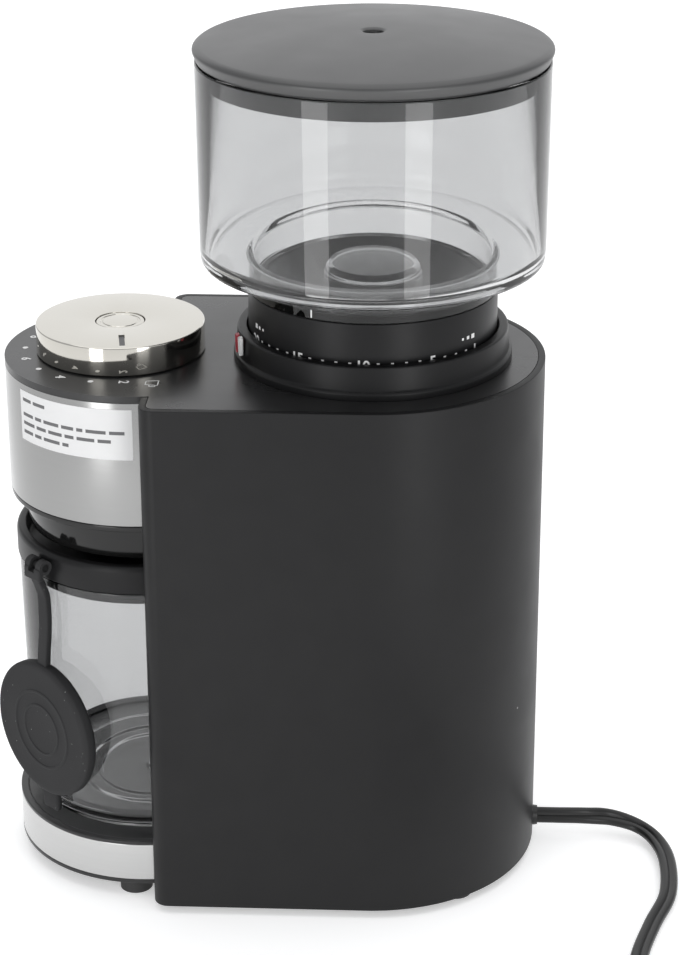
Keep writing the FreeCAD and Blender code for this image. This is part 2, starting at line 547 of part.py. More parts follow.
def makeContainer():
    node(turned("jar", [
        (0, "jarBase"), ("jarFootRadius", "jarBase"), (40.6, 23.4), (42.2, 27.5), (42.5, 31),
        ("jarRadius", "jarRim"), ("jarRadius - jarWall", "jarRim"), (40.7, 31.4), (39.6, 27),
        (36.6, 24.2), (0, 24.2)], 0, "noseY"), "container")
    cap = turned("jarLidTurned", [
        ("jarLidHole", 114), ("jarLidHole", 117.5), (23, 117.5), (23, 116), (40.3, 116),
        (40.3, "jarLidTop"), (42.6, "jarLidTop"), ("jarLidRadius", "jarLidTop - 1"),
        ("jarLidRadius", 112.3), (41, 112.3), (41, 108), (39.4, 108), (39.4, 114)], 0, "noseY")
    # the strap hangs on a pin that a lug holds just outside the lid's rim; local frame: x outwards from
    # the container, y along the rim, z up from the plug disc's centre
    turn = FreeCAD.Rotation(FreeCAD.Vector(0, 0, 1), sizes["plugAngle"])
    corner = FreeCAD.Placement(FreeCAD.Vector(0, sizes["noseY"], sizes["discCentre"]), turn)
    rise = sizes["pivotHeight"] - sizes["discCentre"]
    reach = sizes["pivotReach"]
    pin = alongRim(sizes["pivotPin"], 3.6, reach, rise)
    lug = Part.makeBox(reach - sizes["jarLidRadius"] + 0.6, 2.1, 2.2,
                       FreeCAD.Vector(sizes["jarLidRadius"] - 0.6, -1.05, rise - 1.1))
    hanger = doc.addObject("Part::Feature", "strapHanger")
    hanger.Shape = lug.fuse(pin)
    hanger.Placement = corner
    node(fuse("containerLid", [cap, hanger]), "container_lid")
    disc = Part.makeCylinder(sizes["discRadius"], sizes["discThick"], FreeCAD.Vector(sizes["discBack"], 0, 0),
                             FreeCAD.Vector(1, 0, 0))
    wide = sizes["strapWidth"]
    start = sizes["discRadius"] - 0.8
    strap = Part.makeBox(sizes["strapThick"], wide, rise - 1.5 - start,
                         FreeCAD.Vector(sizes["strapBack"], -wide / 2, start))
    yoke = Part.makeBox(sizes["strapThick"], 8, 4,
                        FreeCAD.Vector(sizes["strapBack"] + sizes["strapThick"] - 0.1, -4, rise - 4))
    ears = alongRim(sizes["pivotEar"], 4, reach, rise).cut(alongRim(sizes["pivotEar"] + 1, 1.25, reach, rise))
    tab = Part.makeBox(2.4, 8, 8.4, FreeCAD.Vector(sizes["discBack"] + 0.6, -4, -sizes["discRadius"] - 7.4))
    whole = disc.fuse([strap, yoke, ears, tab]).cut(alongRim(sizes["pivotBore"], 5, reach, rise))
    plug = doc.addObject("Part::Feature", "lidPlug")
    plug.Shape = whole.removeSplitter()
    plug.Placement = corner
    node(plug, "lid_plug")


# ---------------------------------------------------------------- mains cord
cordRoute = [
    (0, 59.3, 8.2), (0, 74, 8.2), (-2.2, 84, 7.0), (0.1, 93.5, 5.3), (7.3, 100.4, 3.8), (20.8, 104.3, 2.8),
    (40.7, 103.3, 2.7), (59, 95.9, 2.7), (80, 89, 2.7), (101, 88, 2.7), (121, 96.5, 2.7)]


def roundedPath(points):
    """Straight runs joined by tangent arcs, each as large as its two runs allow."""
    corners = [FreeCAD.Vector(*point) for point in points]
    edges = []
    radii = []
    start = corners[0]
    for before, corner, after in zip(corners, corners[1:], corners[2:]):
        inward = (corner - before).normalize()
        onward = (after - corner).normalize()
        turn = inward.getAngle(onward)
        reach = 0.45 * min(before.distanceToPoint(corner), corner.distanceToPoint(after))
        radii.append(reach / math.tan(turn / 2))
        first = corner - inward * reach
        last = corner + onward * reach
        middle = corner + (onward - inward).normalize() * (radii[-1] / math.cos(turn / 2) - radii[-1])
        edges.append(Part.LineSegment(start, first).toShape())
        edges.append(Part.Arc(first, middle, last).toShape())
        start = last
    edges.append(Part.LineSegment(start, corners[-1]).toShape())
    return Part.Wire(edges), radii


def makeCord():
    relief = doc.addObject("Part::Cone", "strainRelief")
    relief.Radius1 = 3.9
    relief.Radius2 = 3.4
    relief.Height = sizes["reliefEnd"] - sizes["reliefRoot"]
    relief.Placement = FreeCAD.Placement(FreeCAD.Vector(0, sizes["reliefRoot"], sizes["cordExit"]),
                                         FreeCAD.Rotation(FreeCAD.Vector(1, 0, 0), -90))
    node(relief, "strain_relief")
    path, radii = roundedPath(cordRoute)
    heading = path.Edges[0].tangentAt(path.Edges[0].FirstParameter)
    section = Part.Wire(Part.makeCircle(sizes["cordRadius"], FreeCAD.Vector(*cordRoute[0]), heading))
    tube = doc.addObject("Part::Feature", "cordTube")
    tube.Shape = path.makePipeShell([section], True, False)
    expected = math.pi * sizes["cordRadius"] ** 2 * path.Length
    print("cord radii mm:", [round(radius, 1) for radius in radii])
    print("cord length mm:", round(path.Length, 1), "volume ratio:", round(tube.Shape.Volume / expected, 4))
    node(tube, "cord_tube")
    node(ringOf("cordCoil", "coilOuter", "coilInner", 0, "coilHeight", "coilX", "coilY"), "cord_coil")
    # the plug lies on the worktop where the last turn leaves the coil, its prongs towards -Y
    boot = doc.addObject("Part::Cone", "plugBoot")
    boot.Radius1 = 3.2
    boot.Radius2 = 5.6
    boot.Height = 18
    boot.Placement = FreeCAD.Placement(FreeCAD.Vector(sizes["plugX"], 45, 7),
                                       FreeCAD.Rotation(FreeCAD.Vector(1, 0, 0), 90))
    node(fuse("powerPlug", [boot, box("plugBlock", "plugX - 9", "plugX + 9", 6, 28, 0, 14)]), "power_plug")
    node(compound("prongs", [box(f"prong{i}", f"{bladeX} - 0.75", f"{bladeX} + 0.75", -11, 6, 3.8, 10.2)
                             for i, bladeX in enumerate(("plugX - 6.35", "plugX + 6.35"))]), "plug_prongs")


makeHousing()
makeTopPlate()
makeNose()
makePlatform()
makeBase()
makeDial()
makeHopper()
makeBurrs()
makeDrive()
makeContainer()
makeCord()
doc.recompute()

# ---------------------------------------------------------------- checks and export
for thing in doc.Objects:
    if "Invalid" in thing.State or "Error" in thing.State:
        raise RuntimeError(f"{thing.Name} did not build: {thing.State}")
for shape in subparts:
    solid = shape.Shape
    if solid.isNull() or not solid.isValid() or not solid.Solids:
        raise RuntimeError(f"{shape.Label} has no valid solid")
    solid = solid.copy()
    solid.translate(FreeCAD.Vector(0, sizes["originShift"], 0))
    solid.exportStep(f"parts/{shape.Label}.step")
print(len(subparts), "sub-parts written")
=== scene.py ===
import math

import bmesh
import bpy
from mathutils import Matrix, Vector


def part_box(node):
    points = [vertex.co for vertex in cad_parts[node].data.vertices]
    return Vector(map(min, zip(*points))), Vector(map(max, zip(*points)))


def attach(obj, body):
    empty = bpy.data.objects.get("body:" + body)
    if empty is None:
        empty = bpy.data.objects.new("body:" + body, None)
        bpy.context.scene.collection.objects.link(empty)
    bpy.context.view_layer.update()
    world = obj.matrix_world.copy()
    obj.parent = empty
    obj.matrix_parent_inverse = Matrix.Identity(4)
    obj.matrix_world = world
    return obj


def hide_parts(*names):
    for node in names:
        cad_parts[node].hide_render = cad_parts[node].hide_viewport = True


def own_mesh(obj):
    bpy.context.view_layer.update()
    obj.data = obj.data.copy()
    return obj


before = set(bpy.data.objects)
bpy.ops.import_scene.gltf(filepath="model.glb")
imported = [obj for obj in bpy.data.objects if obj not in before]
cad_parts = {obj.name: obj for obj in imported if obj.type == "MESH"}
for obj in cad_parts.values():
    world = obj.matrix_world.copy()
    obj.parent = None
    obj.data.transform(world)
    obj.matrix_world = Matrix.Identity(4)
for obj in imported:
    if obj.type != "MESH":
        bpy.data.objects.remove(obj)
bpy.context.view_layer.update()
scene = bpy.context.scene
mm = 0.001
print("frame loaded:", len(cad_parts), "nodes")


# ---- where things are, read from the frame, in millimetres
def spanOf(node):
    low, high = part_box(node)
    return [value / mm for value in low], [value / mm for value in high]


def roundOf(node):
    # a round piece's radius, base and top
    low, high = spanOf(node)
    return high[0], low[2], high[2]


def axisOf(node):
    low, high = spanOf(node)
    return (low[0] + high[0]) / 2, (low[1] + high[1]) / 2


burrAxis = axisOf("hopper_collar")
noseAxis = axisOf("container_platform")
knobAxis = axisOf("dial_knob")
bodyLow, bodyHigh = spanOf("housing")
plateLow, plateHigh = spanOf("top_plate")
topZ = plateHigh[2]

# ---- camera and light come first
cameraSet = {
    "place": (0.7893, 0.0306, 0.4708),  # from the burr axis at worktop height
    "yaw": 2.507,  # degrees from -X towards -Y
    "pitch": -21.556,
    "lens": 95.82,
    "shift": (-0.0224, -0.0630),
}


def addCamera():
    data = bpy.data.cameras.new("camera")
    data.sensor_width = 36
    data.lens = cameraSet["lens"]
    data.shift_x, data.shift_y = cameraSet["shift"]
    data.clip_end = 50
    camera = bpy.data.objects.new("camera", data)
    scene.collection.objects.link(camera)
    yaw = math.radians(cameraSet["yaw"])
    pitch = math.radians(cameraSet["pitch"])
    forward = Vector((-math.cos(yaw) * math.cos(pitch), -math.sin(yaw) * math.cos(pitch), math.sin(pitch)))
    camera.location = Vector(cameraSet["place"]) + Vector((0, burrAxis[1] * mm, 0))
    camera.rotation_mode = "QUATERNION"
    camera.rotation_quaternion = forward.to_track_quat("-Z", "Y")
    scene.camera = camera


lightSet = {
    "overhead": {"place": (-0.1, 0.0, 1.5), "size": (1.8, 1.8), "power": 9},
    "backWall": {"place": (-1.7, 0.0, 0.85), "size": (2.8, 1.6), "power": 7.8},
    "leftStrip": {"place": (0.45, -0.29, 0.19), "size": (0.15, 0.38), "power": 0.55},
    "rightStrip": {"place": (0.48, 0.27, 0.19), "size": (0.16, 0.38), "power": 0.6},
}
ambient = {"colour": (0.97, 0.98, 1.0, 1), "strength": 0.62}


def addLights():
    for name, values in lightSet.items():
        data = bpy.data.lights.new(name, "AREA")
        data.shape = "RECTANGLE"
        data.size, data.size_y = values["size"]
        data.energy = values["power"]
        lamp = bpy.data.objects.new(name, data)
        lamp.location = Vector(values["place"]) + Vector((0, burrAxis[1] * mm, 0))
        aim = Vector((0, burrAxis[1] * mm - 0.03, 0.15)) - lamp.location
        lamp.rotation_mode = "QUATERNION"
        lamp.rotation_quaternion = aim.to_track_quat("-Z", "Y")
        scene.collection.objects.link(lamp)
    world = bpy.data.worlds.new("studio")
    scene.world = world
    world.use_nodes = True
    back = world.node_tree.nodes["Background"]
    back.inputs["Color"].default_value = ambient["colour"]
    back.inputs["Strength"].default_value = ambient["strength"]


addCamera()
addLights()
scene.view_settings.view_transform = "Standard"
print("camera and lights placed")


# ---- shader helpers
def addNode(tree, kind, **values):
    made = tree.nodes.new(kind)
    for name, value in values.items():
        if name in made.inputs:
            made.inputs[name].default_value = value
        else:
            setattr(made, name, value)
    return made


def join(tree, source, target):
    tree.links.new(source, target)


def newGroup(name, inputs, outputs):
    group = bpy.data.node_groups.new(name, "ShaderNodeTree")
    for label, default in inputs:
        socket = group.interface.new_socket(name=label, in_out="INPUT", socket_type="NodeSocketFloat")
        socket.default_value = default
    for label in outputs:
        group.interface.new_socket(name=label, in_out="OUTPUT", socket_type="NodeSocketFloat")
    enter = group.nodes.new("NodeGroupInput")
    leave = group.nodes.new("NodeGroupOutput")
    place = group.nodes.new("ShaderNodeTexCoord").outputs["Object"]
    return group, enter.outputs, leave.inputs, place


def mathNode(tree, operation, first, second, clamp=False):
    made = tree.nodes.new("ShaderNodeMath")
    made.operation = operation
    made.use_clamp = clamp
    for socket, value in zip(made.inputs, (first, second)):
        if isinstance(value, (int, float)):
            socket.default_value = value
        else:
            join(tree, value, socket)
    return made.outputs[0]


def buildGrain():
    # fine moulded texture, with a slow drift for uneven sheen
    group, inside, outside, place = newGroup("mouldedGrain", [("Fineness", 1500.0)], ["Height", "Drift"])
    fine = addNode(group, "ShaderNodeTexNoise", Detail=3.0, Roughness=0.6)
    join(group, place, fine.inputs["Vector"])
    join(group, inside["Fineness"], fine.inputs["Scale"])
    slow = addNode(group, "ShaderNodeTexNoise", Scale=26.0, Detail=3.0, Roughness=0.55)
    join(group, place, slow.inputs["Vector"])
    join(group, fine.outputs["Fac"], outside["Height"])
    join(group, slow.outputs["Fac"], outside["Drift"])
    return group


def buildDust():
    # a few pale specks, each a small dot in a random cell
    group, inside, outside, place = newGroup(
        "dustSpecks", [("Spread", 160.0), ("Share", 0.25), ("Size", 0.1)], ["Mask"])
    cells = addNode(group, "ShaderNodeTexVoronoi", Randomness=1.0)
    join(group, place, cells.inputs["Vector"])
    join(group, inside["Spread"], cells.inputs["Scale"])
    pick = addNode(group, "ShaderNodeSeparateColor")
    join(group, cells.outputs["Color"], pick.inputs[0])
    chosen = mathNode(group, "LESS_THAN", pick.outputs[0], inside["Share"])
    sized = mathNode(group, "MULTIPLY", inside["Size"], pick.outputs[1])
    dot = mathNode(group, "LESS_THAN", cells.outputs["Distance"], sized)
    join(group, mathNode(group, "MULTIPLY", chosen, dot), outside["Mask"])
    return group


def buildEdge():
    # a mask on sharp corners, from how sharply the surface turns; it lightens them, partly as rubbed wear and
    # partly as a painted highlight
    group, inside, outside, place = newGroup("edgeWearAndHighlight", [("Reach", 0.06)], ["Mask"])
    geometry = group.nodes.new("ShaderNodeNewGeometry")
    lifted = mathNode(group, "SUBTRACT", geometry.outputs["Pointiness"], 0.5)
    scaled = mathNode(group, "DIVIDE", lifted, inside["Reach"], clamp=True)
    patches = addNode(group, "ShaderNodeTexNoise", Scale=90.0, Detail=4.0)
    join(group, place, patches.inputs["Vector"])
    join(group, mathNode(group, "MULTIPLY", scaled, patches.outputs["Fac"], clamp=True), outside["Mask"])
    return group


def buildBrushing():
    # long fine lines round a vertical axis: the pattern changes quickly with height only
    group, inside, outside, place = newGroup(
        "brushedLines", [("Along", 18.0), ("Across", 2600.0)], ["Height", "Tone"])
    scaled = group.nodes.new("ShaderNodeCombineXYZ")
    parts = group.nodes.new("ShaderNodeSeparateXYZ")
    join(group, place, parts.inputs[0])
    for axis, factor in (("X", "Along"), ("Y", "Along"), ("Z", "Across")):
        join(group, mathNode(group, "MULTIPLY", parts.outputs[axis], inside[factor]), scaled.inputs[axis])
    lines = addNode(group, "ShaderNodeTexNoise", Scale=1.0, Detail=2.0)
    join(group, scaled.outputs[0], lines.inputs["Vector"])
    join(group, lines.outputs["Fac"], outside["Height"])
    join(group, lines.outputs["Fac"], outside["Tone"])
    return group


grainGroup = buildGrain()
dustGroup = buildDust()
edgeWearAndHighlightGroup = buildEdge()
brushGroup = buildBrushing()


def useGroup(tree, group, **values):
    made = tree.nodes.new("ShaderNodeGroup")
    made.node_tree = group
    for name, value in values.items():
        made.inputs[name].default_value = value
    return made.outputs


def newMaterial(name, **values):
    material = bpy.data.materials.new(name)
    material.use_nodes = True
    tree = material.node_tree
    shader = tree.nodes["Principled BSDF"]
    for label, value in values.items():
        shader.inputs[label].default_value = value
    return material, tree, shader


dustColour = (0.42, 0.42, 0.41, 1)
# lighter colour on the sharp edges of metal: partly wear, partly a painted highlight
edgeWearAndHighlightColour = (0.75, 0.74, 0.72, 1)
hazeColour = (0.75, 0.75, 0.74, 1)


def shade(colour, factor=1.0):
    return (*[channel * factor for channel in colour], 1)


def blendColours(tree, first, second, factor, target=None):
    made = tree.nodes.new("ShaderNodeMix")
    made.data_type = "RGBA"
    for socket, value in ((made.inputs["A"], first), (made.inputs["B"], second)):
        if isinstance(value, tuple):
            socket.default_value = value
        else:
            join(tree, value, socket)
    join(tree, factor, made.inputs["Factor"])
    if target is not None:
        join(tree, made.outputs["Result"], target)
    return made.outputs["Result"]


def scaleTo(tree, source, low, high, target=None):
    # noise mostly lies between 0.3 and 0.7
    ends = {"From Min": 0.3, "From Max": 0.7, "To Min": low, "To Max": high}
    made = addNode(tree, "ShaderNodeMapRange", **ends)
    join(tree, source, made.inputs["Value"])
    if target is not None:
        join(tree, made.outputs["Result"], target)
    return made.outputs["Result"]


def bumpFrom(tree, shader, height, strength, distance):
    bump = addNode(tree, "ShaderNodeBump", Strength=strength, Distance=distance)
    join(tree, height, bump.inputs["Height"])
    join(tree, bump.outputs["Normal"], shader.inputs["Normal"])


def plastic(name, colour, edgeWearAndHighlightTone, rough, fineness, bump, dust=0.0, dustSize=0.1, sheen=0.5, spread=150.0):
    # moulded plastic or rubber: grain, uneven sheen, edges lightened partly as rubbed wear and partly as a
    # painted highlight, and a little dust
    material, tree, shader = newMaterial(name, Metallic=0.0)
    shader.inputs["Specular IOR Level"].default_value = sheen
    grain = useGroup(tree, grainGroup, Fineness=fineness)
    edge = useGroup(tree, edgeWearAndHighlightGroup, Reach=0.09)
    specks = useGroup(tree, dustGroup, Spread=spread, Share=dust, Size=dustSize)
    base = blendColours(tree, shade(colour, 0.86), shade(colour, 1.16), grain["Drift"])
    # edges lightened: partly rubbed wear, partly a painted highlight
    wornAndHighlit = blendColours(tree, base, shade(edgeWearAndHighlightTone), mathNode(tree, "MULTIPLY", edge["Mask"], 0.5))
    blendColours(tree, wornAndHighlit, dustColour, mathNode(tree, "MULTIPLY", specks["Mask"], 0.6),
                 shader.inputs["Base Color"])
    scaleTo(tree, grain["Drift"], rough[0], rough[1], shader.inputs["Roughness"])
    bumpFrom(tree, shader, grain["Height"], bump, 0.0002)
    return material


def brushed(name, colour, rough, across, bump, darkest=0.8):
    material, tree, shader = newMaterial(name, Metallic=1.0)
    lines = useGroup(tree, brushGroup, Along=14.0, Across=across)
    grain = useGroup(tree, grainGroup, Fineness=700.0)
    tone = scaleTo(tree, lines["Tone"], 0.25, 0.75)
    blendColours(tree, shade(colour, darkest), shade(colour), tone, shader.inputs["Base Color"])
    mixed = mathNode(tree, "ADD", scaleTo(tree, lines["Tone"], rough[0], rough[1]),
                     scaleTo(tree, grain["Drift"], -0.04, 0.04))
    join(tree, mixed, shader.inputs["Roughness"])
    bumpFrom(tree, shader, lines["Height"], bump, 0.0001)
    return material


def polished(name, colour, rough):
    material, tree, shader = newMaterial(name, Metallic=1.0)
    grain = useGroup(tree, grainGroup, Fineness=900.0)
    edge = useGroup(tree, edgeWearAndHighlightGroup, Reach=0.12)
    scaleTo(tree, grain["Drift"], rough[0], rough[1], shader.inputs["Roughness"])
    # edges blended to a lighter colour: partly wear, partly a painted highlight
    blendColours(tree, shade(colour), edgeWearAndHighlightColour, edge["Mask"], shader.inputs["Base Color"])
    bumpFrom(tree, shader, grain["Height"], 0.02, 0.00005)
    return material


def clearPlastic(name, colour, rough):
    material, tree, shader = newMaterial(name, Metallic=0.0, IOR=1.46)
    shader.inputs["Transmission Weight"].default_value = 1.0
    grain = useGroup(tree, grainGroup, Fineness=500.0)
    specks = useGroup(tree, dustGroup, Spread=120.0, Share=0.1, Size=0.05)
    blendColours(tree, shade(colour), hazeColour, specks["Mask"], shader.inputs["Base Color"])
    scaleTo(tree, grain["Drift"], rough[0], rough[1], shader.inputs["Roughness"])
    return material


finishes = {
    "casing": plastic("casingBlack", (0.011, 0.011, 0.0115), (0.04, 0.04, 0.04), (0.40, 0.5), 1700.0, 0.10,
        dust=0.12, dustSize=0.07, sheen=0.2),
    "cover": plastic("coverBlack", (0.014, 0.014, 0.0145), (0.05, 0.05, 0.05), (0.26, 0.34), 2200.0, 0.04,
        dust=0.05, dustSize=0.06, sheen=0.45),
    "ring": plastic("ringBlack", (0.007, 0.007, 0.0075), (0.03, 0.03, 0.03), (0.34, 0.42), 2000.0, 0.06,
        dust=0.06, dustSize=0.06, sheen=0.22),
    "lid": plastic("lidSatin", (0.027, 0.027, 0.0275), (0.05, 0.05, 0.05), (0.38, 0.46), 2200.0, 0.08,
        dust=0.08, dustSize=0.06, sheen=0.95),
    "gloss": plastic("glossBlack", (0.006, 0.006, 0.006), (0.02, 0.02, 0.02), (0.07, 0.14), 900.0, 0.01,
        dust=0.05, dustSize=0.05, sheen=0.4),
    "silicone": plastic("greySilicone", (0.021, 0.021, 0.022), (0.05, 0.05, 0.05), (0.62, 0.74), 1400.0, 0.3,
        dust=0.55, dustSize=0.1, sheen=0.22, spread=480.0),
    "rubber": plastic("footRubber", (0.02, 0.02, 0.02), (0.05, 0.05, 0.05), (0.6, 0.7), 1200.0, 0.2,
        dust=0.2),
    "sheath": plastic("cordSheath", (0.010, 0.010, 0.010), (0.03, 0.03, 0.03), (0.26, 0.34), 1500.0, 0.08,
        dust=0.1, sheen=0.4),
    "inner": plastic("innerPlastic", (0.16, 0.16, 0.165), (0.3, 0.3, 0.3), (0.45, 0.55), 1400.0, 0.12),
    "acetal": plastic("gearAcetal", (0.72, 0.70, 0.62), (0.85, 0.84, 0.8), (0.4, 0.5), 1400.0, 0.08),
    "board": plastic("boardGreen", (0.02, 0.13, 0.05), (0.2, 0.3, 0.2), (0.25, 0.35), 1400.0, 0.05),
    "magnet": plastic("darkFerrite", (0.06, 0.06, 0.065), (0.15, 0.15, 0.15), (0.6, 0.7), 900.0, 0.3),
    "white": plastic("printWhite", (0.80, 0.80, 0.79), (0.8, 0.8, 0.8), (0.4, 0.5), 1800.0, 0.05),
    "red": plastic("printRed", (0.42, 0.04, 0.06), (0.5, 0.1, 0.1), (0.35, 0.45), 1800.0, 0.05),
    "paper": plastic("labelPaper", (0.66, 0.66, 0.66), (0.7, 0.7, 0.7), (0.4, 0.5), 1300.0, 0.06),
    "ink": plastic("labelInk", (0.10, 0.10, 0.105), (0.15, 0.15, 0.15), (0.5, 0.6), 1300.0, 0.05),
    # the nose band and the stand band are one steel: the nose band's colour is darkened as painted shade, and
    # the stand band's is lightened as painted light from the bright floor
    "noseBand": brushed("noseBand", (0.32, 0.32, 0.317), (0.16, 0.22), 2600.0, 0.05, 0.93),
    "litBandSteel": brushed("litStandSteel", (0.57, 0.57, 0.565), (0.16, 0.22), 2600.0, 0.05, 0.93),
    "plainSteel": brushed("plainSteel", (0.55, 0.55, 0.56), (0.3, 0.42), 1500.0, 0.15),
    "deck": brushed("deckAluminium", (0.6, 0.61, 0.62), (0.35, 0.5), 1200.0, 0.15),
    "brass": polished("brassFitting", (0.72, 0.55, 0.26), (0.22, 0.34)),
    "chrome": polished("knobChrome", (0.57, 0.55, 0.50), (0.06, 0.1)),
    "clear": clearPlastic("clearPlastic", (0.675, 0.678, 0.68), (0.0, 0.03)),
}
print("materials built:", len(finishes))


# ---- mesh helpers
# how many sides the large, the middle and the small round pieces have
largeSteps, middleSteps, smallSteps = 192, 160, 96


def finishPiece(name, form, finish, body, stands=()):
    mesh = meshOf(form)
    mesh.name = name
    mesh.shade_smooth()
    mesh.set_sharp_from_angle(angle=math.radians(38))
    mesh.materials.clear()
    mesh.materials.append(finishes[finish])
    piece = bpy.data.objects.new(name, mesh)
    scene.collection.objects.link(piece)
    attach(piece, body)
    if stands:
        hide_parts(*stands)
    return piece


def lathe(corners, centre=(0, 0), steps=128, segments=5):
    # corners are (radius, height, rounding) in millimetres, once round the section;
    # a section that starts and ends on the axis is left open there
    form = bmesh.new()
    points = [form.verts.new((radius * mm, 0, height * mm)) for radius, height, _ in corners]
    for first, second in zip(points, points[1:]):
        form.edges.new((first, second))
    if corners[0][0] > 0 or corners[-1][0] > 0:
        form.edges.new((points[-1], points[0]))
    for point, (_, _, rounding) in zip(points, corners):
        if rounding:
            bmesh.ops.bevel(form, geom=[point], offset=rounding * mm, affect="VERTICES",
                            segments=segments, profile=0.5, material=-1)
    bmesh.ops.spin(form, geom=form.verts[:] + form.edges[:], cent=(0, 0, 0), axis=(0, 0, 1),
                   angle=math.tau, steps=steps, use_merge=True)
    bmesh.ops.dissolve_degenerate(form, dist=1e-7, edges=form.edges)
    bmesh.ops.translate(form, verts=form.verts, vec=(centre[0] * mm, centre[1] * mm, 0))
    return form


def turnPiece(name, section, centre, finish, body, node, steps=largeSteps):
    return finishPiece(name, lathe(section, centre, steps), finish, body, [node])


def meshOf(form):
    mesh = bpy.data.meshes.new("shape")
    bmesh.ops.remove_doubles(form, verts=form.verts, dist=1e-6)
    bmesh.ops.recalc_face_normals(form, faces=form.faces)
    form.to_mesh(mesh)
    form.free()
    return mesh


def carve(form, *steps):
    # each step is (operation, bmesh); the result is a new bmesh
    base = bpy.data.objects.new("carveBase", meshOf(form))
    scene.collection.objects.link(base)
    tools = []
    for operation, other in steps:
        tool = bpy.data.objects.new("carveTool", meshOf(other))
        scene.collection.objects.link(tool)
        tools.append(tool)
        change = base.modifiers.new("carve", "BOOLEAN")
        change.operation = operation
        change.solver = "EXACT"
        change.object = tool
    bpy.context.view_layer.update()
    made = bmesh.new()
    made.from_object(base, bpy.context.evaluated_depsgraph_get())
    for thing in [base] + tools:
        mesh = thing.data
        bpy.data.objects.remove(thing)
        bpy.data.meshes.remove(mesh)
    return made


def drum(radius, bottom, top, centre=(0, 0), steps=128):
    form = bmesh.new()
    bmesh.ops.create_cone(form, cap_ends=True, segments=steps, radius1=radius * mm, radius2=radius * mm,
                          depth=(top - bottom) * mm)
    bmesh.ops.translate(form, verts=form.verts,
                        vec=(centre[0] * mm, centre[1] * mm, (bottom + top) / 2 * mm))
    return form


def block(low, high):
    form = bmesh.new()
    bmesh.ops.create_cube(form, size=1)
    size = [(b - a) * mm for a, b in zip(low, high)]
    middle = [(a + b) / 2 * mm for a, b in zip(low, high)]
    bmesh.ops.scale(form, verts=form.verts, vec=size)
    bmesh.ops.translate(form, verts=form.verts, vec=middle)
    return form


def turnTo(form, degrees, axis, x=0.0, y=0.0, z=0.0):
    # turns a form about the origin, then moves it by millimetres
    bmesh.ops.rotate(form, verts=form.verts, cent=(0, 0, 0),
                     matrix=Matrix.Rotation(math.radians(degrees), 3, axis))
    bmesh.ops.translate(form, verts=form.verts, vec=(x * mm, y * mm, z * mm))
    return form


def flatBar(width, height, across=1):
    form = bmesh.new()
    bmesh.ops.create_grid(form, x_segments=across, y_segments=1, size=0.5)
    bmesh.ops.scale(form, verts=form.verts, vec=(width * mm, height * mm, 1))
    return form


def thicken(form, depth):
    # gives a flat drawing a little depth, upwards
    bmesh.ops.remove_doubles(form, verts=form.verts, dist=1e-7)
    raised = bmesh.ops.extrude_face_region(form, geom=form.faces[:])["geom"]
    bmesh.ops.translate(form, verts=[part for part in raised if isinstance(part, bmesh.types.BMVert)],
                        vec=(0, 0, depth * mm))
    return form


def softenEdges(form, width, segments=3, angle=40):
    sharp = [edge for edge in form.edges
             if len(edge.link_faces) == 2 and edge.calc_face_angle() > math.radians(angle)]
    bmesh.ops.bevel(form, geom=sharp, offset=width * mm, affect="EDGES", segments=segments,
                    profile=0.5, material=-1, clamp_overlap=True)
    return form


# ---- casing
casingSet = {"frontRounding": 5.0, "bayRadius": 45.2, "edge": 1.1, "plateInset": 2.3, "wall": 2.6,
             "roof": 5.2, "mouth": 42.0, "seatRadius": 46.95, "bayWall": 49.6, "bayRoof": 137.6,
             "cordHole": 4.0, "spindleHole": 4.8, "coverGap": 0.12, "coverEdge": 0.45}


def casingPrism(inset, bottom, top, steps=96):
    # square plan with two small front corners and a half-round back
    wide = bodyHigh[0] - bodyLow[0] - 2 * inset
    deep = bodyHigh[1] - bodyLow[1] - 2 * inset
    middle = (bodyHigh[1] + bodyLow[1]) / 2
    form = turnTo(flatBar(wide, deep), 0, "Z", 0, middle, bottom)
    rear = [vert for vert in form.verts if vert.co.y > middle * mm]
    bmesh.ops.bevel(form, geom=rear, offset=wide / 2 * mm, affect="VERTICES", segments=steps,
                    profile=0.5, material=-1)
    front = [vert for vert in form.verts if vert.co.y < (bodyLow[1] + inset + 1) * mm]
    bmesh.ops.bevel(form, geom=front, offset=(casingSet["frontRounding"] - inset) * mm, affect="VERTICES",
                    segments=8, profile=0.5, material=-1)
    bmesh.ops.remove_doubles(form, verts=form.verts, dist=1e-6)
    return thicken(form, top - bottom)


def makeCasing():
    base, top = bodyLow[2], bodyHigh[2]
    inset = casingSet["plateInset"]
    seat = plateLow[2]
    outer = casingPrism(0, base, top)
    form = carve(
        outer,
        ("DIFFERENCE", drum(casingSet["bayRadius"], base - 5, top + 5, noseAxis, middleSteps)),
        ("DIFFERENCE", casingPrism(inset, seat, top + 3)),
        ("DIFFERENCE", drum(casingSet["mouth"], top - 8, top + 5, burrAxis)),
    )
    softenEdges(form, casingSet["edge"], 4)
    seatTop = roundOf("container_platform")[2] + 0.1
    form = carve(
        form,
        ("DIFFERENCE", hollowForm(base, top)),
        ("DIFFERENCE", drum(casingSet["seatRadius"], base - 5, seatTop, noseAxis, middleSteps)),
        ("DIFFERENCE", cordHole()),
    )
    finishPiece("casing_shell", form, "casing", "casing", ["housing"])


def hollowForm(base, top):
    # the room inside the walls, kept clear of the bay wall
    bay = drum(casingSet["bayWall"], base - 5, casingSet["bayRoof"], noseAxis, middleSteps)
    return carve(casingPrism(casingSet["wall"], base - 1, top - casingSet["roof"]), ("DIFFERENCE", bay))


def cordHole():
    low, high = spanOf("strain_relief")
    return turnTo(drum(casingSet["cordHole"], -12, 12), 90, "X", 0, low[1], (low[2] + high[2]) / 2)


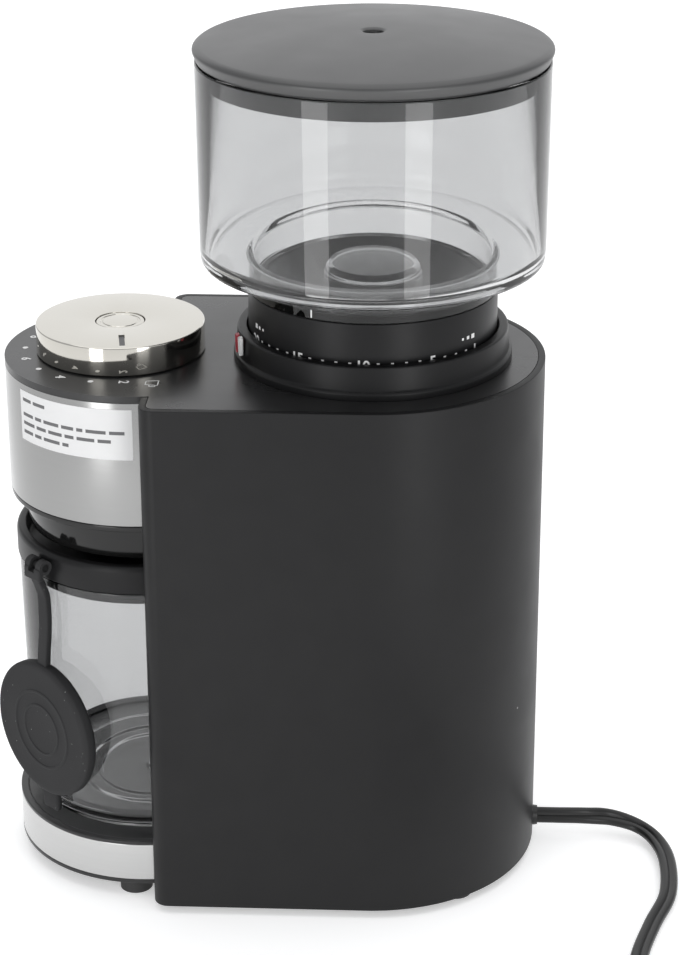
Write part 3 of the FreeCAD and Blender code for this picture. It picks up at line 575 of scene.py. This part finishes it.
def makeCover():
    low, high = plateLow[2], plateHigh[2]
    noseRadius = roundOf("nose_band")[0]
    field = casingPrism(casingSet["plateInset"] + casingSet["coverGap"], low, high)
    form = carve(field, ("UNION", drum(noseRadius, low, high, noseAxis, largeSteps)),
                 ("DIFFERENCE", drum(casingSet["mouth"] + 0.05, low - 3, high + 3, burrAxis)),
                 ("DIFFERENCE", drum(casingSet["spindleHole"], low - 3, high + 3, knobAxis, 48)))
    softenEdges(form, casingSet["coverEdge"], 3)
    finishPiece("top_cover", form, "cover", "casing", ["top_plate"])


makeCasing()
makeCover()
print("casing and cover made")


# ---- nose, chute and platform
noseSet = {"cut": 27.0, "reach": 60.0, "sheet": 0.65, "seat": 0.75, "wall": 1.7, "floor": 2.6,
           "opening": 20.0}
skirtSet = {"opening": 18.0, "top": 40.6, "waist": 40.2, "mouth": 39.0, "bore": 37.0}
standSet = {"seat": 0.72, "lip": 44.5, "floor": 44.1, "wall": 43.8, "thick": 3.0}


def makeNose():
    radius, bottom, top = roundOf("nose_band")
    split, reach = noseAxis[1] + noseSet["cut"], noseSet["reach"]
    sheet = radius - noseSet["sheet"]
    band = lathe([(radius, bottom, 0.25), (radius, top, 0.25), (sheet, top, 0), (sheet, bottom, 0)],
                 noseAxis, largeSteps)
    back = block((-reach, split, bottom - 5), (reach, split + reach, top + 5))
    # the nose band's steel is the darker copy, painted shade
    finishPiece("nose_steel_band", carve(band, ("DIFFERENCE", back)), "noseBand", "casing",
                ["nose_band"])
    _, base, roof = roundOf("nose_shell")
    floor = base + noseSet["floor"]
    outer, inner = radius - 0.1, radius - noseSet["seat"]
    bore, opening = inner - noseSet["wall"], noseSet["opening"]
    section = [
        (opening, base, 0.4), (outer, base, 0.5), (outer, bottom - 0.1, 0.3), (inner, bottom - 0.1, 0),
        (inner, roof, 0.2), (bore, roof, 0.2), (bore, floor, 0.8), (opening, floor, 0.3)]
    back = block((-reach, split, floor), (reach, split + reach, top + 5))
    shell = carve(lathe(section, noseAxis, largeSteps), ("DIFFERENCE", back))
    finishPiece("nose_drum", shell, "gloss", "casing", ["nose_shell"])
    _, base, roof = roundOf("chute_cone")
    opening, bore = skirtSet["opening"], skirtSet["bore"]
    section = [
        (opening, roof, 0), (skirtSet["top"], roof, 0), (skirtSet["waist"], roof - 3, 1.2),
        (skirtSet["mouth"], base, 0.7), (bore, base, 0.7), (bore - 0.5, roof - 3.4, 2.0),
        (opening, roof - 3.4, 0.4)]
    turnPiece("chute_skirt", section, noseAxis, "gloss", "casing", "chute_cone",
              middleSteps)


def makePlatform():
    radius, base, top = roundOf("container_platform")
    _, bottom, rim = roundOf("platform_band")
    inner = radius - standSet["seat"]
    wall, under = standSet["wall"], top - standSet["thick"]
    section = [
        (0, under, 0), (wall, under, 1), (wall, base, 0.3), (radius, base, 0.4),
        (radius, bottom - 0.1, 0.15), (inner, bottom - 0.1, 0), (inner, rim + 0.1, 0),
        (radius, rim + 0.1, 0.15), (radius, top, 0.45), (standSet["lip"], top, 0.3),
        (standSet["floor"], top - 0.6, 0.2), (0, top - 0.6, 0)]
    turnPiece("container_stand", section, noseAxis, "cover", "casing",
              "container_platform")
    sheet = inner + 0.02
    band = lathe([(radius, bottom, 0.25), (radius, rim, 0.25), (sheet, rim, 0), (sheet, bottom, 0)],
                 noseAxis, largeSteps)
    # the stand band's steel is the lighter copy, painted light
    finishPiece("stand_steel_band", band, "litBandSteel", "casing", ["platform_band"])


makeNose()
makePlatform()
print("nose and stand made")


# ---- hopper, its ring, guard and lid
hopperSet = {"floor": 215.0, "wall": 2.0, "thick": 2.4, "throat": 17.0, "throatBore": 15.0, "funnel": 38.3,
             "funnelBore": 38.5, "neck": 40.9, "neckBore": 39.2, "foot": 52.6, "heel": 56.0}
ringSet = {"bore": 41.3, "base": 45.9, "shoulder": 44.9, "top": 44.5, "collarBore": 38.7}
guardSet = {"thick": 4.2, "bore": 14.2, "mouth": 14.6, "bead": 0.7}
lidSet = {"hole": 3.2, "skirtBore": 52.4, "skirt": 54.4, "rim": 6.8, "flank": 44.0, "middle": 20.0}


def makeHopper():
    radius, throat, top = roundOf("hopper")
    neck = roundOf("hopper_collar")[2] + 0.1
    floor = hopperSet["floor"]
    inside = floor + hopperSet["thick"]
    section = [
        (hopperSet["throat"], throat, 0.4), (hopperSet["throat"], throat + 3, 2.5),
        (hopperSet["funnel"], neck - 1.5, 0.5), (hopperSet["funnel"], neck, 0.2),
        (hopperSet["neck"], neck, 0.3), (hopperSet["neck"], floor, 1.2), (hopperSet["foot"], floor, 0),
        (hopperSet["heel"], floor + 0.4, 1.6), (hopperSet["heel"] + 0.35, floor + 4, 1.0),
        (radius, top, 0.5), (radius - hopperSet["wall"], top, 0.5),
        (hopperSet["heel"] - 1.7, floor + 5, 1.5), (hopperSet["foot"], inside, 2.0),
        (hopperSet["neckBore"], inside, 1.5), (hopperSet["funnelBore"], neck + 2, 1.0),
        (hopperSet["throatBore"], throat + 5, 2.0), (hopperSet["throatBore"], throat, 0.4)]
    turnPiece("bean_hopper", section, burrAxis, "clear", "hopper_unit", "hopper")
    radius, base, top = roundOf("hopper_collar")
    bore = ringSet["collarBore"]
    section = [(bore, base, 0.3), (radius, base, 0.4), (radius, top, 0.4), (bore, top, 0.2)]
    turnPiece("scale_collar", section, burrAxis, "ring", "hopper_unit", "hopper_collar")


def makeRing():
    _, base, top = roundOf("hopper_ring")
    section = [
        (ringSet["bore"], base, 0), (ringSet["base"], base, 0.2), (ringSet["base"], base + 2.5, 0.6),
        (ringSet["shoulder"], base + 3.1, 0.5), (ringSet["top"], top, 0.7), (ringSet["bore"], top, 0.5)]
    turnPiece("collar_ring", section, burrAxis, "ring", "casing", "hopper_ring")


def makeGuard():
    radius, base, top = roundOf("finger_guard")
    under, bead = top - guardSet["thick"], radius - guardSet["bead"]
    section = [
        (0, under, 0), (guardSet["bore"], under, 1.2), (guardSet["mouth"], base, 0.3), (radius, base, 0.4),
        (radius, top - 4, 0.4), (bead, top - 3.2, 0.4), (bead, top - 2.2, 0.4),
        (radius - 2.2, top - 0.7, 0.7), (0, top, 0)]
    turnPiece("guard_cap", section, burrAxis, "clear", "hopper_unit", "finger_guard",
              smallSteps)


def makeLid():
    radius, base, crown = roundOf("hopper_lid")
    rim = base + lidSet["rim"]
    hole, bore, skirt = lidSet["hole"], lidSet["skirtBore"], lidSet["skirt"]
    section = [
        (hole, crown - 3, 0.2), (bore, rim + 2.4, 1.0), (bore, base, 0.3), (skirt, base, 0.3),
        (skirt, rim, 0.3), (radius - 1.4, rim, 0.5), (radius, rim + 3.6, 0.8),
        (radius - 1.6, rim + 5.0, 0.9), (lidSet["flank"], crown - 1.9, 9),
        (lidSet["middle"], crown - 0.25, 8), (hole + 1, crown, 0.4), (hole, crown - 0.6, 0.3)]
    turnPiece("hopper_cover", section, burrAxis, "lid", "hopper_cap", "hopper_lid")


makeHopper()
makeRing()
makeGuard()
makeLid()
print("hopper made")


# ---- dial and start button
knobSet = {"hole": 8.25, "wall": 1.7, "web": 2.5, "hub": 10.5, "bore": 4.5, "pointerFrom": 14.9,
           "pointerTo": 25.3, "pointerHalf": 1.0, "pointerDepth": 0.6, "pointerAngle": 9.0}
buttonSet = {"radius": 8.0, "stem": 2.2, "thick": 2.8, "groove": 0.25, "travel": 1.5}
springSet = {"foot": 3.9, "tip": 2.6, "sheet": 0.4}


def pointerBlock(gap, bottom, top):
    # the slot in the dial's top, or the dark strip that lies in it
    half = knobSet["pointerHalf"] - gap
    form = block((knobSet["pointerFrom"] + gap, -half, bottom), (knobSet["pointerTo"] - gap, half, top))
    return turnTo(form, knobSet["pointerAngle"], "Z", *knobAxis)


def makeDial():
    radius, base, top = roundOf("dial_knob")
    web, wall, hub = top - knobSet["web"], radius - knobSet["wall"], knobSet["hub"]
    section = [
        (knobSet["hole"], top, 0.25), (radius, top, 0.5), (radius, base, 0.3), (wall, base, 0.3),
        (wall, web, 0.8), (hub, web, 0.5), (hub, base + 0.6, 0.2), (knobSet["bore"], base + 0.6, 0.2),
        (knobSet["bore"], top - 5.5, 0), (knobSet["hole"], top - 5.5, 0.2)]
    depth = top - knobSet["pointerDepth"]
    form = carve(lathe(section, knobAxis, largeSteps), ("DIFFERENCE", pointerBlock(0, depth, top + 1)))
    finishPiece("dial", form, "chrome", "dial", ["dial_knob"])
    # a thin dark strip lies on the slot's floor, so the whole slot reads dark
    finishPiece("pointer_dark_strip", pointerBlock(0.1, depth, depth + 0.1), "ink", "dial")


def makeButton():
    _, base, top = roundOf("start_button")
    radius, stem = buttonSet["radius"], buttonSet["stem"]
    under, groove = top - buttonSet["thick"], top - buttonSet["groove"]
    section = [
        (0, base, 0), (stem, base, 0.3), (stem, under, 0.2), (radius, under, 0.2), (radius, top, 0.4),
        (radius - 1.3, top, 0.1), (radius - 1.5, groove, 0.1), (radius - 2.1, groove, 0.1),
        (radius - 2.3, top, 0.1), (0, top + 0.02, 0)]
    turnPiece("start_cap", section, knobAxis, "chrome", "button", "start_button", smallSteps)


def makeSpring():
    # the real spring flattens onto the spindle as the button goes down; here it is a fixed cone with a mesh
    # of its own
    _, base, top = roundOf("button_spring")
    foot, tip, sheet = springSet["foot"], springSet["tip"], springSet["sheet"]
    section = [(foot, base, 0.05), (foot + sheet, base, 0.05), (tip + sheet, top, 0.05), (tip, top, 0.05)]
    spring = turnPiece("cone_spring", section, knobAxis, "plainSteel", "dial",
                       "button_spring", smallSteps)
    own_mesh(spring)


makeDial()
makeButton()
makeSpring()
print("dial made")


# ---- container and its lid
jarSet = {"radius": 43.1, "bore": 41.3, "foot": 37.0, "floor": 2.6, "lip": 112.3, "lidHole": 21.0,
          "lidRadius": 43.6, "lidSeat": 41.0, "lidBore": 39.4}


def makeJar():
    _, base, rim = roundOf("container")
    floor = base + jarSet["floor"]
    section = [
        (0, base + 0.4, 0), (33, base + 0.4, 0.3), (34, base, 0.4), (jarSet["foot"], base, 1.2),
        (41.0, base + 2.2, 2.2), (42.3, base + 8, 1.5), (jarSet["radius"], rim, 0.5),
        (jarSet["bore"], rim, 0.5), (40.6, base + 9, 2.0), (39.2, base + 5, 2.5), (36.0, floor, 1.6)]
    # two low rings and a pip stand on the floor
    for ring, rise in (((25.0, 24.4, 23.4, 22.8), 1.0), ((20.0, 19.5, 18.6, 18.0), 0.8)):
        for at, up in zip(ring, (0, rise, rise, 0)):
            section.append((at, floor + up, 0.3))
    section += [(3.2, floor, 0.4), (2.2, base + 3.8, 0.6), (0, base + 4.0, 0)]
    turnPiece("grounds_jar", section, noseAxis, "clear", "container_unit", "container")


def makeJarLid():
    top, lip = roundOf("container_lid")[2], jarSet["lip"]
    hole, radius, seat, bore = (jarSet[key] for key in ("lidHole", "lidRadius", "lidSeat", "lidBore"))
    section = [
        (hole, lip + 1.7, 0.3), (hole, lip + 5.2, 0.4), (hole + 2, lip + 5.2, 0.5),
        (hole + 2.4, lip + 3.7, 0.4), (40.0, lip + 3.7, 1.0), (40.4, top, 0.5), (42.9, top, 0.8),
        (radius, top - 1.6, 0.5), (radius, lip, 0.4), (seat, lip, 0.1), (seat, lip - 4.3, 0.3),
        (bore, lip - 4.3, 0.3), (bore, lip + 1.7, 0.6)]
    cap = lathe(section, noseAxis, largeSteps)
    lug = block((radius - 0.6, -1.05, -1.1), (strapSet["reach"], 1.05, 1.1))
    for extra in (lug, crossBar(strapSet["pin"], 3.6)):
        toStrapFrame(extra)
        joinInto(cap, extra)
    finishPiece("jar_lid", cap, "ring", "container_unit", ["container_lid"])


def joinInto(form, extra):
    mesh = meshOf(extra)
    form.from_mesh(mesh)
    bpy.data.meshes.remove(mesh)


# the silicone plug hangs in a frame of its own: x outwards, y along the rim, z up from the pivot
strapSet = {"angle": -43.0, "pivot": 118.0, "reach": 46.3, "pin": 1.3, "bore": 1.4, "ear": 2.5, "disc": 24.0,
            "thick": 5.1, "back": 43.4, "drop": 60.5, "wide": 4.6, "strap": 2.4, "sway": 1.2, "hangs": 47.6,
            "inward": 2.5, "outward": 0.9, "bend": 0.28, "rings": ((14.4, 13.2), (9.4, 8.4)),
            "ringRise": 0.28}


def toStrapFrame(form):
    place = Matrix.Translation((noseAxis[0] * mm, noseAxis[1] * mm, strapSet["pivot"] * mm))
    bmesh.ops.transform(form, verts=form.verts,
                        matrix=place @ Matrix.Rotation(math.radians(strapSet["angle"]), 4, "Z"))


def crossBar(radius, half):
    # a round bar across the strap, through the pivot
    return turnTo(drum(radius, -half, half, steps=32), 90, "X", strapSet["reach"])


def sweep(outline, places):
    # outline is a list of (side, up); places a list of (centre, side vector, up vector) in metres
    form = bmesh.new()
    rings = []
    for centre, side, up in places:
        rings.append([form.verts.new(centre + side * (a * mm) + up * (b * mm)) for a, b in outline])
    count = len(outline)
    for first, second in zip(rings, rings[1:]):
        for index in range(count):
            after = (index + 1) % count
            form.faces.new((first[index], first[after], second[after], second[index]))
    form.faces.new(rings[0])
    form.faces.new(list(reversed(rings[-1])))
    return form


def roundedBox(width, height, rounding, steps=4):
    corners = []
    for sx, sy, start in ((1, 1, 0), (-1, 1, 90), (-1, -1, 180), (1, -1, 270)):
        for index in range(steps + 1):
            angle = math.radians(start + 90 * index / steps)
            corners.append((sx * (width / 2 - rounding) + rounding * math.cos(angle),
                            sy * (height / 2 - rounding) + rounding * math.sin(angle)))
    return corners


def strapPlaces():
    # the strap leaves the yoke, falls against the jar and runs down to the rim of the disc
    places = []
    bend = strapSet["bend"]
    top, low = -1.6, -strapSet["drop"] + strapSet["disc"] - 1.4
    for index in range(41):
        share = index / 40
        inward = min(share / bend, 1)
        outward = max(share - bend, 0) / (1 - bend)
        deep = (strapSet["hangs"] - strapSet["inward"] * inward * inward * (3 - 2 * inward)
                + strapSet["outward"] * outward)
        side = strapSet["sway"] * math.sin(math.pi * share) ** 2
        centre = Vector((deep * mm, side * mm, (top + (low - top) * share) * mm))
        places.append((centre, Vector((0, 1, 0)), Vector((1, 0, 0))))
    return places


def makePlug():
    back, thick, drop, radius = (strapSet[key] for key in ("back", "thick", "drop", "disc"))
    section = [
        (0, 0, 0), (radius - 1.2, 0, 0.6), (radius, 1.0, 0.8), (radius, thick - 0.6, 0.8),
        (radius - 1.4, thick, 0.8)]
    # plain raised rings stand where the real plug has its text
    for outer, inner in strapSet["rings"]:
        raised = thick + strapSet["ringRise"]
        section += [(outer, thick, 0.15), (outer - 0.2, raised, 0.12), (inner + 0.2, raised, 0.12),
                    (inner, thick, 0.15)]
    section.append((0, thick, 0))
    disc = turnTo(lathe(section, segments=3), 90, "Y", back, 0, -drop)
    strap = sweep(roundedBox(strapSet["wide"], strapSet["strap"], 0.5), strapPlaces())
    yoke = softenEdges(block((47.2, -4, -4.4), (49.4, 4, 0)), 0.7, 4)
    rim = -drop - radius
    tab = softenEdges(block((back + 0.6, -4, rim - 7.2), (back + 3.0, 4, rim + 1.5)), 0.9, 4)
    ears = [("UNION", turnTo(drum(strapSet["ear"], 1.25, 4, steps=40), -side * 90, "X", strapSet["reach"]))
            for side in (-1, 1)]
    window = block((44, -1.5, -1.5), (51, 1.5, 3))
    form = carve(strap, ("UNION", disc), ("UNION", tab), ("UNION", yoke), *ears,
                 ("DIFFERENCE", crossBar(strapSet["bore"], 5)), ("DIFFERENCE", window))
    toStrapFrame(form)
    finishPiece("silicone_plug", form, "silicone", "plug_strap", ["lid_plug"])


makeJar()
makeJarLid()
makePlug()
print("container and plug made")


# ---- printed marks, label and index marks
def letters(text, height):
    curve = bpy.data.curves.new("letters", "FONT")
    curve.body = text
    curve.resolution_u = 4
    curve.offset = 0.02
    holder = bpy.data.objects.new("letters", curve)
    scene.collection.objects.link(holder)
    bpy.context.view_layer.update()
    mesh = bpy.data.meshes.new_from_object(holder.evaluated_get(bpy.context.evaluated_depsgraph_get()))
    form = bmesh.new()
    form.from_mesh(mesh)
    bpy.data.objects.remove(holder)
    bpy.data.meshes.remove(mesh)
    bpy.data.curves.remove(curve)
    low = [min(vert.co[axis] for vert in form.verts) for axis in (0, 1)]
    high = [max(vert.co[axis] for vert in form.verts) for axis in (0, 1)]
    size = height * mm / (high[1] - low[1])
    bmesh.ops.translate(form, verts=form.verts, vec=(-(low[0] + high[0]) / 2, -(low[1] + high[1]) / 2, 0))
    bmesh.ops.scale(form, verts=form.verts, vec=(size, size, size))
    return form


def flatDot(radius):
    form = bmesh.new()
    bmesh.ops.create_circle(form, cap_ends=True, segments=24, radius=radius * mm)
    return form


def wrap(form, radius, angle, height, centre):
    # lays a drawing on a drum: x runs round it, y up it, z outwards
    for vert in form.verts:
        turn = math.radians(angle) + vert.co.x / (radius * mm)
        reach = radius * mm + vert.co.z
        up = vert.co.y + height * mm
        vert.co = (centre[0] * mm + reach * math.cos(turn), centre[1] * mm + reach * math.sin(turn), up)
    return form


def gathered(forms):
    whole = bmesh.new()
    for form in forms:
        joinInto(whole, form)
    return whole


scaleSet = {"first": 55.0, "step": 6.3, "height": 3.5, "middle": 192.3, "dot": 0.9, "dotLift": 0.4,
            "depth": 0.06, "endDots": (0.8, 1.1, 1.5), "endStep": 3.4, "ends": 197.0, "tickAngle": -26,
            "tickLift": 207.9}
dialSet = {"reach": 31.9, "first": 9.0, "step": 19.5, "height": 3.4, "dot": 0.95, "depth": 0.05,
           "cupAngle": 24, "cupReach": 35, "cupLine": 0.34}


def makeScale():
    radius = roundOf("hopper_collar")[0]
    depth, first, dot = scaleSet["depth"], scaleSet["first"], scaleSet["dot"]
    forms = []
    for value in range(1, 21):
        angle = first - scaleSet["step"] * (value - 1)
        if value == 1 or value % 5 == 0:
            drawing, lift = letters(str(value), scaleSet["height"]), scaleSet["middle"]
        else:
            drawing, lift = flatBar(dot, dot), scaleSet["middle"] + scaleSet["dotLift"]
        forms.append(wrap(thicken(drawing, depth), radius, angle, lift, burrAxis))
    # three growing dots at each end stand for the words
    last = first - 19 * scaleSet["step"]
    for centre, sizes in ((first - 5, scaleSet["endDots"]), (last + 4, scaleSet["endDots"][::-1])):
        for index, size in enumerate(sizes):
            angle = centre + scaleSet["endStep"] * (index - 1)
            forms.append(wrap(thicken(flatBar(size, size), depth), radius, angle, scaleSet["ends"], burrAxis))
    tick = thicken(flatBar(0.5, 2.6), depth)
    forms.append(wrap(tick, radius + 0.02, scaleSet["tickAngle"], scaleSet["tickLift"], burrAxis))
    finishPiece("grind_scale", gathered(forms), "white", "hopper_unit")


def onCover(form, angle, reach):
    # lays a flat drawing on the cover, at an angle and a reach from the dial's axis
    turnTo(thicken(form, dialSet["depth"]), 0, "Z", knobAxis[0] + reach * math.cos(angle),
           knobAxis[1] + reach * math.sin(angle), topZ)
    return form


def makeDialMarks():
    forms = []
    for index in range(11):
        angle = math.radians(dialSet["first"] - dialSet["step"] * index)
        value = index + 2
        drawing = letters(str(value), dialSet["height"]) if value % 2 == 0 else flatDot(dialSet["dot"])
        forms.append(onCover(drawing, angle, dialSet["reach"]))
    # a small cup, drawn as an outline with a handle
    for path in ([(-2.2, 1.8), (2.2, 1.8), (1.6, -2.2), (-1.6, -2.2), (-2.2, 1.8)],
                 [(2.1, 1.2), (3.4, 1.0), (3.2, -0.8), (1.8, -0.9)]):
        for (x1, y1), (x2, y2) in zip(path, path[1:]):
            stroke = flatBar(math.hypot(x2 - x1, y2 - y1) + 0.3, dialSet["cupLine"])
            turnTo(stroke, math.degrees(math.atan2(y2 - y1, x2 - x1)), "Z", (x1 + x2) / 2, (y1 + y2) / 2)
            forms.append(onCover(stroke, math.radians(dialSet["cupAngle"]), dialSet["cupReach"]))
    finishPiece("dial_marks", gathered(forms), "white", "casing")


labelSet = {"from": -53.0, "to": 3.5, "low": 160.3, "high": 177.5, "thick": 0.09, "margin": 1.6,
            "bar": 1.15, "space": 1.1}
# the rows of grey bars: height on the label, then the length of each bar
labelRows = [(5.6, (4.6, 5.6)), (0.6, (5.4, 3.0, 6.4, 4.6, 2.2, 6.8, 5.0)),
             (-2.4, (6.0, 4.4, 5.6, 3.4, 6.2, 4.4)), (-5.4, (5.0, 3.2, 6.8, 2.4))]


def makeLabel():
    radius = roundOf("nose_band")[0]
    middle = (labelSet["from"] + labelSet["to"]) / 2
    width = math.radians(labelSet["to"] - labelSet["from"]) * radius
    height = labelSet["high"] - labelSet["low"]
    centre = (labelSet["high"] + labelSet["low"]) / 2
    paper = thicken(flatBar(width, height, 40), labelSet["thick"])
    finishPiece("advice_label", wrap(paper, radius + 0.02, middle, centre, noseAxis), "paper", "casing")
    forms = []
    for up, words in labelRows:
        x = -width / 2 + labelSet["margin"]
        for word in words:
            bar = turnTo(flatBar(word, labelSet["bar"], 6), 0, "Z", x + word / 2, up)
            forms.append(wrap(thicken(bar, 0.03), radius + 0.1, middle, centre, noseAxis))
            x += word + labelSet["space"]
    finishPiece("label_bars", gathered(forms), "ink", "casing")


def makeIndexMarks():
    for colour in ("red", "white"):
        node = "index_mark_" + colour
        low, high = spanOf(node)
        x, y = (low[0] + high[0]) / 2 - burrAxis[0], (low[1] + high[1]) / 2 - burrAxis[1]
        drawing = thicken(flatBar(2.6, high[2] - low[2] + 0.4, 4), 1.0)
        form = wrap(drawing, math.hypot(x, y) - 0.45, math.degrees(math.atan2(y, x)),
                    (low[2] + high[2]) / 2, burrAxis)
        softenEdges(form, 0.25, 2)
        finishPiece(node + "_paint", form, colour, "casing", [node])


makeScale()
makeDialMarks()
makeLabel()
makeIndexMarks()
print("marks made")


# ---- mains cord: a flat twin that lies on the worktop and ends in a loose coil with a plug
cordSet = {
    "route": [(0, 57.5, 8.2), (0, 66, 8.2), (-0.4, 76, 8.0), (-1.6, 85, 6.8), (0.4, 94, 4.9),
              (7.3, 100.2, 3.6),
              (20.8, 103.4, 3.1), (40.7, 102.3, 2.2), (59, 95.9, 1.7), (80, 90.2, 1.7), (101, 89.4, 2.2)],
    "coil": (146, 66), "outer": 38.2, "inner": 28.4, "turns": 3.08, "start": 128.0, "leave": 33.0,
    "end": 47.0,
    "upright": 3.1, "over": 8.0, "lobe": 1.5, "length": 0.9, "wide": 0.006,
    "rolls": [90, 90, 80, 40, 10, 0, 0, 0, 0, 0, 20],  # at the route's points, in degrees from lying flat
}
mainsPlugSet = {"body": 22.0, "rounding": 3.2, "ribs": 4, "ribStep": 4.0, "ribWide": 5.4, "ribTaper": 0.55,
                "gripStep": 3.0}


def smoothRoute(points, share=8):
    # a smooth line through every point
    line = []
    for index in range(len(points) - 1):
        p0 = points[max(index - 1, 0)]
        p1, p2 = points[index], points[index + 1]
        p3 = points[min(index + 2, len(points) - 1)]
        for step in range(share):
            t = step / share
            line.append(0.5 * ((2 * p1) + (p2 - p0) * t + (2 * p0 - 5 * p1 + 4 * p2 - p3) * t * t
                               + (3 * p1 - p0 - 3 * p2 + p3) * t ** 3))
    line.append(points[-1])
    return line


def onCoil(angle, reach, height):
    cx, cy = cordSet["coil"]
    return Vector((cx + reach * math.cos(angle), cy + reach * math.sin(angle), height))


def cordLine():
    # returns the points in millimetres and how far each is rolled, in degrees from lying flat
    points = [Vector(point) for point in cordSet["route"]]
    rolls = list(cordSet["rolls"])
    outer, inner, upright = cordSet["outer"], cordSet["inner"], cordSet["upright"]
    swept = 360 * cordSet["turns"]
    steps = 96
    for index in range(steps + 1):
        share = index / steps
        ease = min(share * 12, 1)
        points.append(onCoil(math.radians(cordSet["start"] - swept * share), outer + (inner - outer) * share,
                             2.4 + (upright - 2.4) * ease))
        rolls.append(40 + 50 * ease)
    # the end climbs over the coil and leaves it on the far side
    last = cordSet["start"] - swept
    span = last + 360 * round(-last / 360)
    steps = 14
    for index in range(1, steps + 1):
        share = index / steps
        rise = min(share / 0.42, 1)
        rise = rise * rise * (3 - 2 * rise)
        outward = max((share - 0.35) / 0.65, 0)
        points.append(onCoil(math.radians(last - span * share), inner + (cordSet["leave"] - inner) * outward,
                             upright + (cordSet["over"] - upright) * rise))
        rolls.append(90 - 90 * rise)
    for y, z in ((58, 7.8), (cordSet["end"], 7.2), (cordSet["end"] - 5, 7.0)):
        points.append(Vector((cordSet["coil"][0] + cordSet["leave"], y, z)))
        rolls.append(0)
    return points, rolls


def makeCord():
    points, rolls = cordLine()
    line = smoothRoute([Vector((point.x, point.y + burrAxis[1], point.z)) for point in points], 6)
    turned = smoothRoute([Vector((roll, 0, 0)) for roll in rolls], 6)
    lobe = cordSet["lobe"]
    outline = []
    for side in (1, -1):
        for index in range(9):
            angle = math.radians(-128 + 256 * index / 8) + (0 if side > 0 else math.pi)
            outline.append((side * lobe + lobe * math.cos(angle), lobe * math.sin(angle)))
        outline.append((0, side * lobe * 0.5))
    places = []
    for index, point in enumerate(line):
        before, after = line[max(index - 1, 0)], line[min(index + 1, len(line) - 1)]
        along = (after - before).normalized()
        flat = Vector((0, 0, 1)).cross(along).normalized()
        up = along.cross(flat).normalized()
        roll = math.radians(turned[index].x)
        side = flat * math.cos(roll) + up * math.sin(roll)
        places.append((point * mm, side, along.cross(side).normalized()))
    cord = finishPiece("flat_cord", sweep(outline, places), "sheath", "casing",
                       ["cord_tube", "cord_coil"])
    plug = makeMainsPlug()


def makeMainsPlug():
    low, high = spanOf("power_plug")
    length, body = high[1] - low[1], mainsPlugSet["body"]
    case = softenEdges(block(low, (high[0], low[1] + body, high[2])), mainsPlugSet["rounding"], 6)
    # a ribbed sleeve that gets thinner towards the cord
    section = [(0, body - 2, 0), (6.2, body - 2, 0.4)]
    for index in range(mainsPlugSet["ribs"]):
        at = body + 1.5 + mainsPlugSet["ribStep"] * index
        wide = mainsPlugSet["ribWide"] - mainsPlugSet["ribTaper"] * index
        section += [(wide, at, 0.3), (wide, at + 1.6, 0.3), (wide - 0.9, at + 1.9, 0.2),
                    (wide - 0.9, at + 3.0, 0.2)]
    section += [(3.1, length, 0.5), (0, length, 0)]
    sleeve = turnTo(lathe(section, steps=48, segments=2), -90, "X", (low[0] + high[0]) / 2, low[1],
                    (low[2] + high[2]) / 2)
    grips = []
    for side in (low[0], high[0]):
        for index in range(4):
            at = low[1] + 6 + mainsPlugSet["gripStep"] * index
            grip = block((side - 0.5, at, low[2] + 3), (side + 0.5, at + 1.2, high[2] - 3))
            grips.append(("DIFFERENCE", grip))
    return finishPiece("mains_plug", carve(case, ("UNION", sleeve), *grips), "sheath", "casing",
                       ["power_plug"])


makeCord()
print("cord made")


# ---- floor
def addFloor():
    form = bmesh.new()
    bmesh.ops.create_grid(form, x_segments=1, y_segments=1, size=4)
    mesh = bpy.data.meshes.new("floor")
    form.to_mesh(mesh)
    form.free()
    material, _, shader = newMaterial("paleFloor", Roughness=0.85)
    shader.inputs["Base Color"].default_value = (0.9, 0.9, 0.9, 1)
    shader.inputs["Emission Color"].default_value = (1, 1, 1, 1)
    shader.inputs["Emission Strength"].default_value = 0.38
    mesh.materials.append(material)
    floor = bpy.data.objects.new("floor", mesh)
    scene.collection.objects.link(floor)


addFloor()

# ---- carried-over CAD nodes
nodeFinishes = {
    "rubber": ["foot_pads"],
    "casing": ["base_plate", "guard_throat"],
    "gloss": ["outlet_chute"],
    "inner": ["grinding_chamber", "burr_carrier", "grind_ring", "sweeper", "hopper_switch", "frame_posts",
              "terminal_block", "timer_module", "start_switch", "board_posts", "dial_spindle"],
    "plainSteel": ["foot_screws", "cone_burr", "ring_burr", "burr_shaft", "idler_pin", "motor_can",
                   "rotor_core", "motor_shaft"],
    "brass": ["burr_nut", "shaft_bushes", "motor_pinion", "motor_bushes", "commutator", "plug_prongs"],
    "acetal": ["main_gear", "idler_gear"],
    "deck": ["gear_deck", "gear_cover"],
    "magnet": ["motor_magnets", "motor_brushes"],
    "board": ["control_board"],
    "sheath": ["strain_relief"],
}
for finish, nodes in nodeFinishes.items():
    for node in nodes:
        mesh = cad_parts[node].data
        mesh.materials.clear()
        mesh.materials.append(finishes[finish])
print("CAD nodes finished:", sum(len(nodes) for nodes in nodeFinishes.values()))
